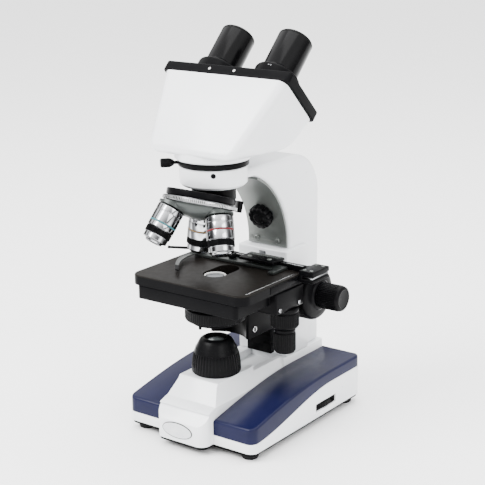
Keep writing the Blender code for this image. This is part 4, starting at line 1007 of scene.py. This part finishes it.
def turret():
    rim = [(29.5, -2.25), (32.6, -2.25), (33.4, -1.4), (33.4, 1.4), (32.6, 2.25), (29.5, 2.25)]
    finish(lathe("turretRim", rim, nosePlace, 160, 0.3), "chrome", "turret", "turret_rim")
    ribs("turretGrip", nosePlace, 120, 33.3, 0.85, 0.2, 2.6, "satinChrome", "turret")
    dome = [(0, -15.0)]
    for i in range(1, 25):
        a = math.pi / 2 * i / 24
        dome.append((29.2 * math.sin(a), -2.55 - 12.75 * math.cos(a)))
    dome += [(29.2, 1.95), (0, 1.95)]
    shell = lathe("turretShell", dome, nosePlace, 160, 0)
    radius = 20.5 / math.cos(math.radians(18.8))
    for i, (node, ringLook, noseShare, ringShare) in enumerate(objectives):
        angle = nose["turn"] - 120 * i
        a = math.radians(angle)
        place = nosePlace @ at(radius * math.sin(a), radius * math.cos(a), 0) @ turnedBy(-angle,
            "Z") @ turnedBy(18.8, "X")
        boss = rod("boss", 12.8, -10.0, -2.5, place, 96, 0)
        carve(boss, slab("under", (-67, -67, -67), (67, 67, -2.55), nosePlace), operation="INTERSECT")
        settle(boss)
        weld(shell, boss)
        settle(shell)
        carve(shell, rod("seatCut", 13.1, -44, -9.0, place, 96, 0))
        settle(shell)
        objective(node, ringLook, noseShare, ringShare, place)
    finish(shell, "domeGray", "turret", "turret_dome", smooth=32)
    finish(lathe("turretHub", [(0, -14.6), (4.4, -14.6), (4.4, -15.6), (3.8, -16.1), (0, -16.2)], nosePlace,
        64, 0.2), "chrome", "turret")


def objective(node, ringLook, noseShare, ringShare, place):
    short = node.split("_")[1]
    wide = 12.3
    top = -9.3
    tip = -44.4
    length = top - tip
    face = wide * noseShare

    def z(share):  # 0 at the front, 1 at the shoulder
        return tip + length * share
    body = [(0, z(0) + 1.6), (face * 0.45, z(0) + 1.4), (face * 0.62, z(0) + 0.7), (face - 1.0, z(0) + 0.3),
        (face - 0.4, z(0)), (face, z(0) + 0.5)]
    body += [(face + 0.35, z(0.045)), (wide * 0.9, z(0.075)), (wide * 0.9, z(0.19)), (wide - 0.9, z(0.20)),
        (wide - 0.9, z(0.375))]
    body += [(wide, z(0.385)), (wide, z(ringShare) - 0.8), (wide - 0.35, z(ringShare) - 0.7), (wide - 0.35,
        z(ringShare) + 0.7), (wide, z(ringShare) + 0.8)]
    body += [(wide, z(0.80)), (wide - 0.25, z(0.805)), (wide - 0.25, z(0.825)), (wide, z(0.83)), (wide,
        z(0.955)), (wide - 0.6, z(0.985)), (wide - 1.2, top), (0, top)]
    finish(lathe("barrel" + short, body, place, 128, 0.25), "chrome", "turret", node)
    ring = [(wide - 1.2, z(ringShare) - 0.6), (wide - 0.1, z(ringShare) - 0.6), (wide - 0.1,
        z(ringShare) + 0.6), (wide - 1.2, z(ringShare) + 0.6)]
    finish(lathe("colour" + short, ring, place, 128, 0.15), ringLook, "turret")
    collar = [(wide - 2.4, z(0.20)), (wide - 0.95, z(0.205)), (wide - 0.95, z(0.37)), (wide - 2.4,
        z(0.375))]
    finish(lathe("collar" + short, [(r + 0.12, h) for r, h in collar], place, 128, 0.2), "black", "turret")
    ribs("knurl" + short, place @ at(0, 0, z(0.2875)), 72, wide - 0.85, 0.62, 0.5, length * 0.15, "black",
        "turret")
    glass = [(0, z(0) + 0.9), (face * 0.30, z(0) + 1.0), (face * 0.44, z(0) + 1.35), (face * 0.44,
        z(0) + 2.2), (0, z(0) + 2.2)]
    finish(lathe("front" + short, glass, place, 64, 0), "lens", "turret")
    washer = [(face * 0.44, z(0) + 0.55), (face - 1.2, z(0) + 0.12), (face - 1.2, z(0) + 1.3), (face * 0.44,
        z(0) + 1.6)]
    finish(lathe("frontRing" + short, washer, place, 96, 0.05), "black", "turret")


def clickStop():
    place = nosePlace @ turnedBy(53, "Z")
    body = slab("clickBody", (34.1, -6, -2.25), (38.1, 6, 8.25), place)
    edge(body, 0.7, 3)
    finish(body, "black", "stand", "click_stop")
    spring = slab("clickSpring", (38.0, -2.6, -1.6), (38.45, 2.6, 7.2), place)
    edge(spring, 0.15, 2)
    finish(spring, "satinChrome", "stand")
    for i, z in enumerate((0.2, 5.4)):
        panScrew("clickScrew%d" % i, place @ at(38.4, 0, z) @ toRight, 1.7, "chrome", "stand", 0.9, "cross")


mountDisc()
turret()
clickStop()
print("nosepiece ready")


# head: a lean tapered housing under a black face plate with two sliding tubes

head = {
    "plateY": 15.0, "plateZ": 333.7, "half": 67.0, "taper": 0.235, "lean": 0.085, "length": 61.0,
    "thick": 10.0, "tubeX": 32.0, "tubeY": 30.5, "tubeZ": 10.3,
}
eyePlace = at(0, head["plateY"], head["plateZ"]) @ turnedBy(-45, "X")


def tubePlace(sign):
    return eyePlace @ at(sign * head["tubeX"], head["tubeY"], head["tubeZ"])


def headShell(name, inset, height, width):
    top = []
    bottom = []
    for side, y, lean in ((-1, inset, head["lean"]), (1, inset, head["lean"]), (1, head["length"] - inset,
        0), (-1, head["length"] - inset, 0)):
        slope = math.cos(math.pi / 4) + lean * math.sin(math.pi / 4)
        low = (height - head["plateZ"] + y * math.sin(math.pi / 4)) / slope
        half = head["half"] - inset
        top.append((side * (half + head["taper"] * 12), y - lean * 12, 12))
        bottom.append((side * (half + head["taper"] * low), y - lean * low, low))
    shell = loft(name, [bottom, top], eyePlace)
    weights = shell.data.attributes.new("bevel_weight_edge", "FLOAT", "EDGE")
    floor = min(v.co.z for v in shell.data.vertices) + 3 * mm
    for item in shell.data.edges:
        level = all(shell.data.vertices[v].co.z < floor for v in item.vertices)
        weights.data[item.index].value = 1.0 if level else 0.66
    rounding = shell.modifiers.new("rounding", "BEVEL")
    rounding.width = width * mm
    rounding.segments = 10
    rounding.limit_method = "WEIGHT"
    return settle(shell)


def headHousing():
    housing = headShell("headBody", 0, 267.5, 12.5)
    carve(housing, slab("openTop", (-140, -140, -0.3), (140, 140, 40), eyePlace))
    settle(housing)
    flange = [(0, 262), (33.4, 262), (34.5, 263.2), (34.5, 269.5), (0, 269.5)]
    weld(housing, lathe("headFlange", flange, at(), 128, 0.3))
    settle(housing)
    carve(housing, headShell("headRoom", 3.0, 270.5, 10.0))
    carve(housing, rod("headPath", 14, 258, 276.5, at(), 96, 0))
    finish(housing, "white", "head", "head_housing", smooth=30)

    plate = prism("facePlate", roundedPlan(-69, 0, 69, 61, [4.5] * 4, 10), 0.3, head["thick"], eyePlace)
    for side in (-1, 1):
        slot = roundedPlan(-19.5, -13.5, 19.5, 13.5, [13.2] * 4, 12)
        carve(plate, prism("tubeSlot", slot, -14, 14, tubePlace(side)))
    edge(plate, 1.1, 4, 50)
    finish(plate, "head", "head", "head_face_plate", smooth=40)
    for i, x in enumerate((-17, 10)):
        panScrew("plateScrew%d" % i, eyePlace @ at(x, 0.0, 5.2) @ toFront, 1.4, "steel", "head", 0.6,
            "cross")
    for i, (x, y) in enumerate(((-62.5, 6), (62.5, 6), (-62.5, 55), (62.5, 55), (0, 30.5))):
        panScrew("faceScrew%d" % i, eyePlace @ at(x, y, 10.0), 2.0, "black", "head", 0.8, "cross")


def eyeTube(side, sign):
    place = tubePlace(sign)
    profile = [(12.0, -24), (13.2, -24), (13.2, 0), (21.5, 0), (21.5, 1.6), (21.2, 1.9), (21.2, 2.4), (21.5,
        2.7)]
    profile += [(21.5, 13.6), (20.9, 14.9), (19.8, 15.5), (17.0, 15.6), (16.5, 16.0), (16.5, 17.0), (12.0,
        17.0)]
    finish(lathe("eyeTube" + side.title(), profile, place, 160, 0.5), "black", "eye_" + side,
        "eyetube_" + side)
    if side == "right":
        for i, turn in enumerate((-84, -78)):
            panScrew("tubeScrew%d" % i, place @ turnedBy(turn, "Z") @ at(21.4, 0, 11.5) @ toRight, 0.8,
                "chrome", "eye_right", 0.5, "hex")


def eyepiece(side, sign):
    place = tubePlace(sign)
    low = 17.3
    high = 56.3
    body = "ocular_" + side
    profile = [(0, -0.5), (9.2, -0.7), (9.4, -2.7), (11.6, -2.7), (11.6, low), (16.0, low), (16.5,
        low + 0.6)]
    profile += [(16.5, high - 3.0), (16.2, high - 2.8), (16.2, high - 2.3), (16.5, high - 2.1), (16.4,
        high - 0.9), (15.7, high)]
    profile += [(14.2, high), (13.4, high - 0.7), (12.8, high - 2.2), (11.6, high - 3.0), (0, high - 3.1)]
    finish(lathe("ocular" + side.title(), profile, place, 160, 0.3), "gloss", body, "eyepiece_" + side)
    glass = [(0, high - 3.3), (11.0, high - 3.3), (11.0, high - 2.7)]
    glass += [(11.0 * math.cos(a), high - 2.7 + 1.5 * math.sin(a)) for a in [math.pi / 2 * i / 10 for i in range(1, 10)]] + [(0, high - 1.2)]
    finish(lathe("ocularLens" + side.title(), glass, place, 96, 0), "lens", body)
    rim = [(11.0, high - 3.2), (12.0, high - 3.2), (11.9, high - 2.4), (11.3, high - 2.1), (11.0,
        high - 2.4)]
    finish(lathe("ocularRim" + side.title(), rim, place, 96, 0.05), "satinChrome", body)


headHousing()
for side, sign in (("left", -1), ("right", 1)):
    eyeTube(side, sign)
    eyepiece(side, sign)
print("head ready")


# electrics at the back and the side of the base

def electrics():
    place = at(55.7, 76.0, 18.5)
    profile = [(3, -2.75), (17.2, -2.75), (17.6, -2.2), (17.6, 2.2), (17.2, 2.75), (3, 2.75)]
    finish(lathe("dimmerDisc", profile, place, 128, 0.2), "moulded", "dimmer", "dimmer_wheel")
    ribs("dimmerGrip", place, 48, 17.5, 1.2, 0.5, 4.9, "moulded", "dimmer")
    # a near-black box set inside the dimmer wheel's slot is painted shade, darkening the recess round the
    # wheel
    slotShade = slab("dimmerLiner", (66.6, 59.4, 15.1), (71.6, 92.6, 21.9))
    carve(slotShade, slab("linerRoom", (67.2, 60.0, 15.6), (74, 92.0, 21.4)))
    carve(slotShade, rod("linerWheel", 18.4, 15.2, 21.8, place, 96, 0))
    settle(slotShade)
    finish(slotShade, "dark", "stand")
    inlet = slab("inletBody", (-13.5, 121.7, 12.0), (13.5, 139.7, 31.0))
    edge(inlet, 1.0, 3)
    settle(inlet)
    carve(inlet, slab("socket", (-10.5, 124.7, 15.0), (10.5, 144, 28.0)))
    settle(inlet)
    finish(inlet, "moulded", "stand", "mains_inlet")
    for i in (-1, 0, 1):
        pin = slab("inletPin%d" % (i + 1), (6.9 * i - 1, 122.7, 19.5), (6.9 * i + 1, 136.7, 23.5))
        edge(pin, 0.3, 2)
        finish(pin, "satinChrome", "stand")
    flange = slab("inletFlange", (-17, 139.6, 9.4), (17, 140.6, 33.6))
    carve(flange, slab("flangeHole", (-12.6, 136, 13.0), (12.6, 144, 30.0)))
    settle(flange)
    edge(flange, 0.4, 2, 40)
    finish(flange, "moulded", "stand")


electrics()

plain = {
    "bottom_plate": "black", "circuit_board": "board", "lamp": "frosted", "prism_block": "glass",
    "coarse_shaft": "steel", "fine_shaft": "steel", "power_switch": "moulded",
}
for node, look in plain.items():
    mesh = bpy.data.objects[node].data
    mesh.materials.clear()
    mesh.materials.append(looks[look])
print("electrics ready")


# room: a flat pale floor, soft lights and the camera

def room():
    floorLook = bpy.data.materials.new("paleFloor")
    floorLook.use_nodes = True
    floorLook.node_tree.nodes["Principled BSDF"].inputs["Base Color"].default_value = (0.96, 0.96, 0.96, 1)
    floorLook.node_tree.nodes["Principled BSDF"].inputs["Roughness"].default_value = 0.55
    bm = bmesh.new()
    bmesh.ops.create_grid(bm, x_segments=1, y_segments=1, size=40)
    mesh = bpy.data.meshes.new("floor")
    bm.to_mesh(mesh)
    bm.free()
    mesh.materials.append(floorLook)
    floor = bpy.data.objects.new("floor", mesh)
    bpy.context.scene.collection.objects.link(floor)


def softBox(name, place, target, size, power, tint=(1, 1, 1)):
    light = bpy.data.lights.new(name, "AREA")
    light.shape = "RECTANGLE"
    light.size = size[0]
    light.size_y = size[1]
    light.energy = power
    light.color = tint
    made = bpy.data.objects.new(name, light)
    made.location = place
    made.rotation_euler = (Vector(target) - Vector(place)).to_track_quat("-Z", "Y").to_euler()
    bpy.context.scene.collection.objects.link(made)


def camera():
    values = {"azimuth": 36.21, "pitch": 15.77, "roll": -0.51, "lens": 96.16, "place": (686.165, -894.456,
        501.363)}
    a, p, r = (math.radians(values[k]) for k in ("azimuth", "pitch", "roll"))
    ahead = Vector((-math.sin(a) * math.cos(p), math.cos(a) * math.cos(p), -math.sin(p)))
    right = Vector((math.cos(a), math.sin(a), 0))
    up = right.cross(ahead)
    across = right * math.cos(r) + up * math.sin(r)
    above = up * math.cos(r) - right * math.sin(r)
    turn = Matrix((across, above, -ahead)).transposed().to_4x4()
    lens = bpy.data.cameras.new("camera")
    lens.lens = values["lens"]
    lens.sensor_width = 36
    lens.clip_start = 0.05
    made = bpy.data.objects.new("camera", lens)
    x, y, z = values["place"]
    made.matrix_world = Matrix.Translation((x * mm, y * mm + axisY, z * mm)) @ turn
    bpy.context.scene.collection.objects.link(made)
    bpy.context.scene.camera = made


def daylight():  # a sky that is bright above and dim at the horizon, and three soft boxes
    sky = {"strength": 3.0, "steps": ((0.02, 0.10), (0.22, 0.30), (0.55, 1.0))}
    world = bpy.data.worlds.new("studio")
    world.use_nodes = True
    nodes = world.node_tree.nodes
    links = world.node_tree.links
    where = nodes.new("ShaderNodeTexCoord")
    parts = nodes.new("ShaderNodeSeparateXYZ")
    ramp = nodes.new("ShaderNodeValToRGB")
    ramp.color_ramp.elements.new(0.3)
    for element, (place, level) in zip(ramp.color_ramp.elements, sky["steps"]):
        element.position = place
        element.color = (level, level, level, 1)
    links.new(where.outputs["Generated"], parts.inputs["Vector"])
    links.new(parts.outputs["Z"], ramp.inputs["Fac"])
    links.new(ramp.outputs["Color"], nodes["Background"].inputs["Color"])
    nodes["Background"].inputs["Strength"].default_value = sky["strength"]
    bpy.context.scene.world = world
    softBox("keyLight", (-0.7, -1.3, 1.5), (0, 0, 0.18), (1.2, 1.0), 70)
    softBox("fillLight", (1.6, -0.6, 0.9), (0, 0, 0.2), (0.9, 0.9), 14)
    softBox("topLight", (0.1, 0.3, 1.9), (0, 0, 0.1), (1.6, 1.6), 40)


room()
camera()
daylight()
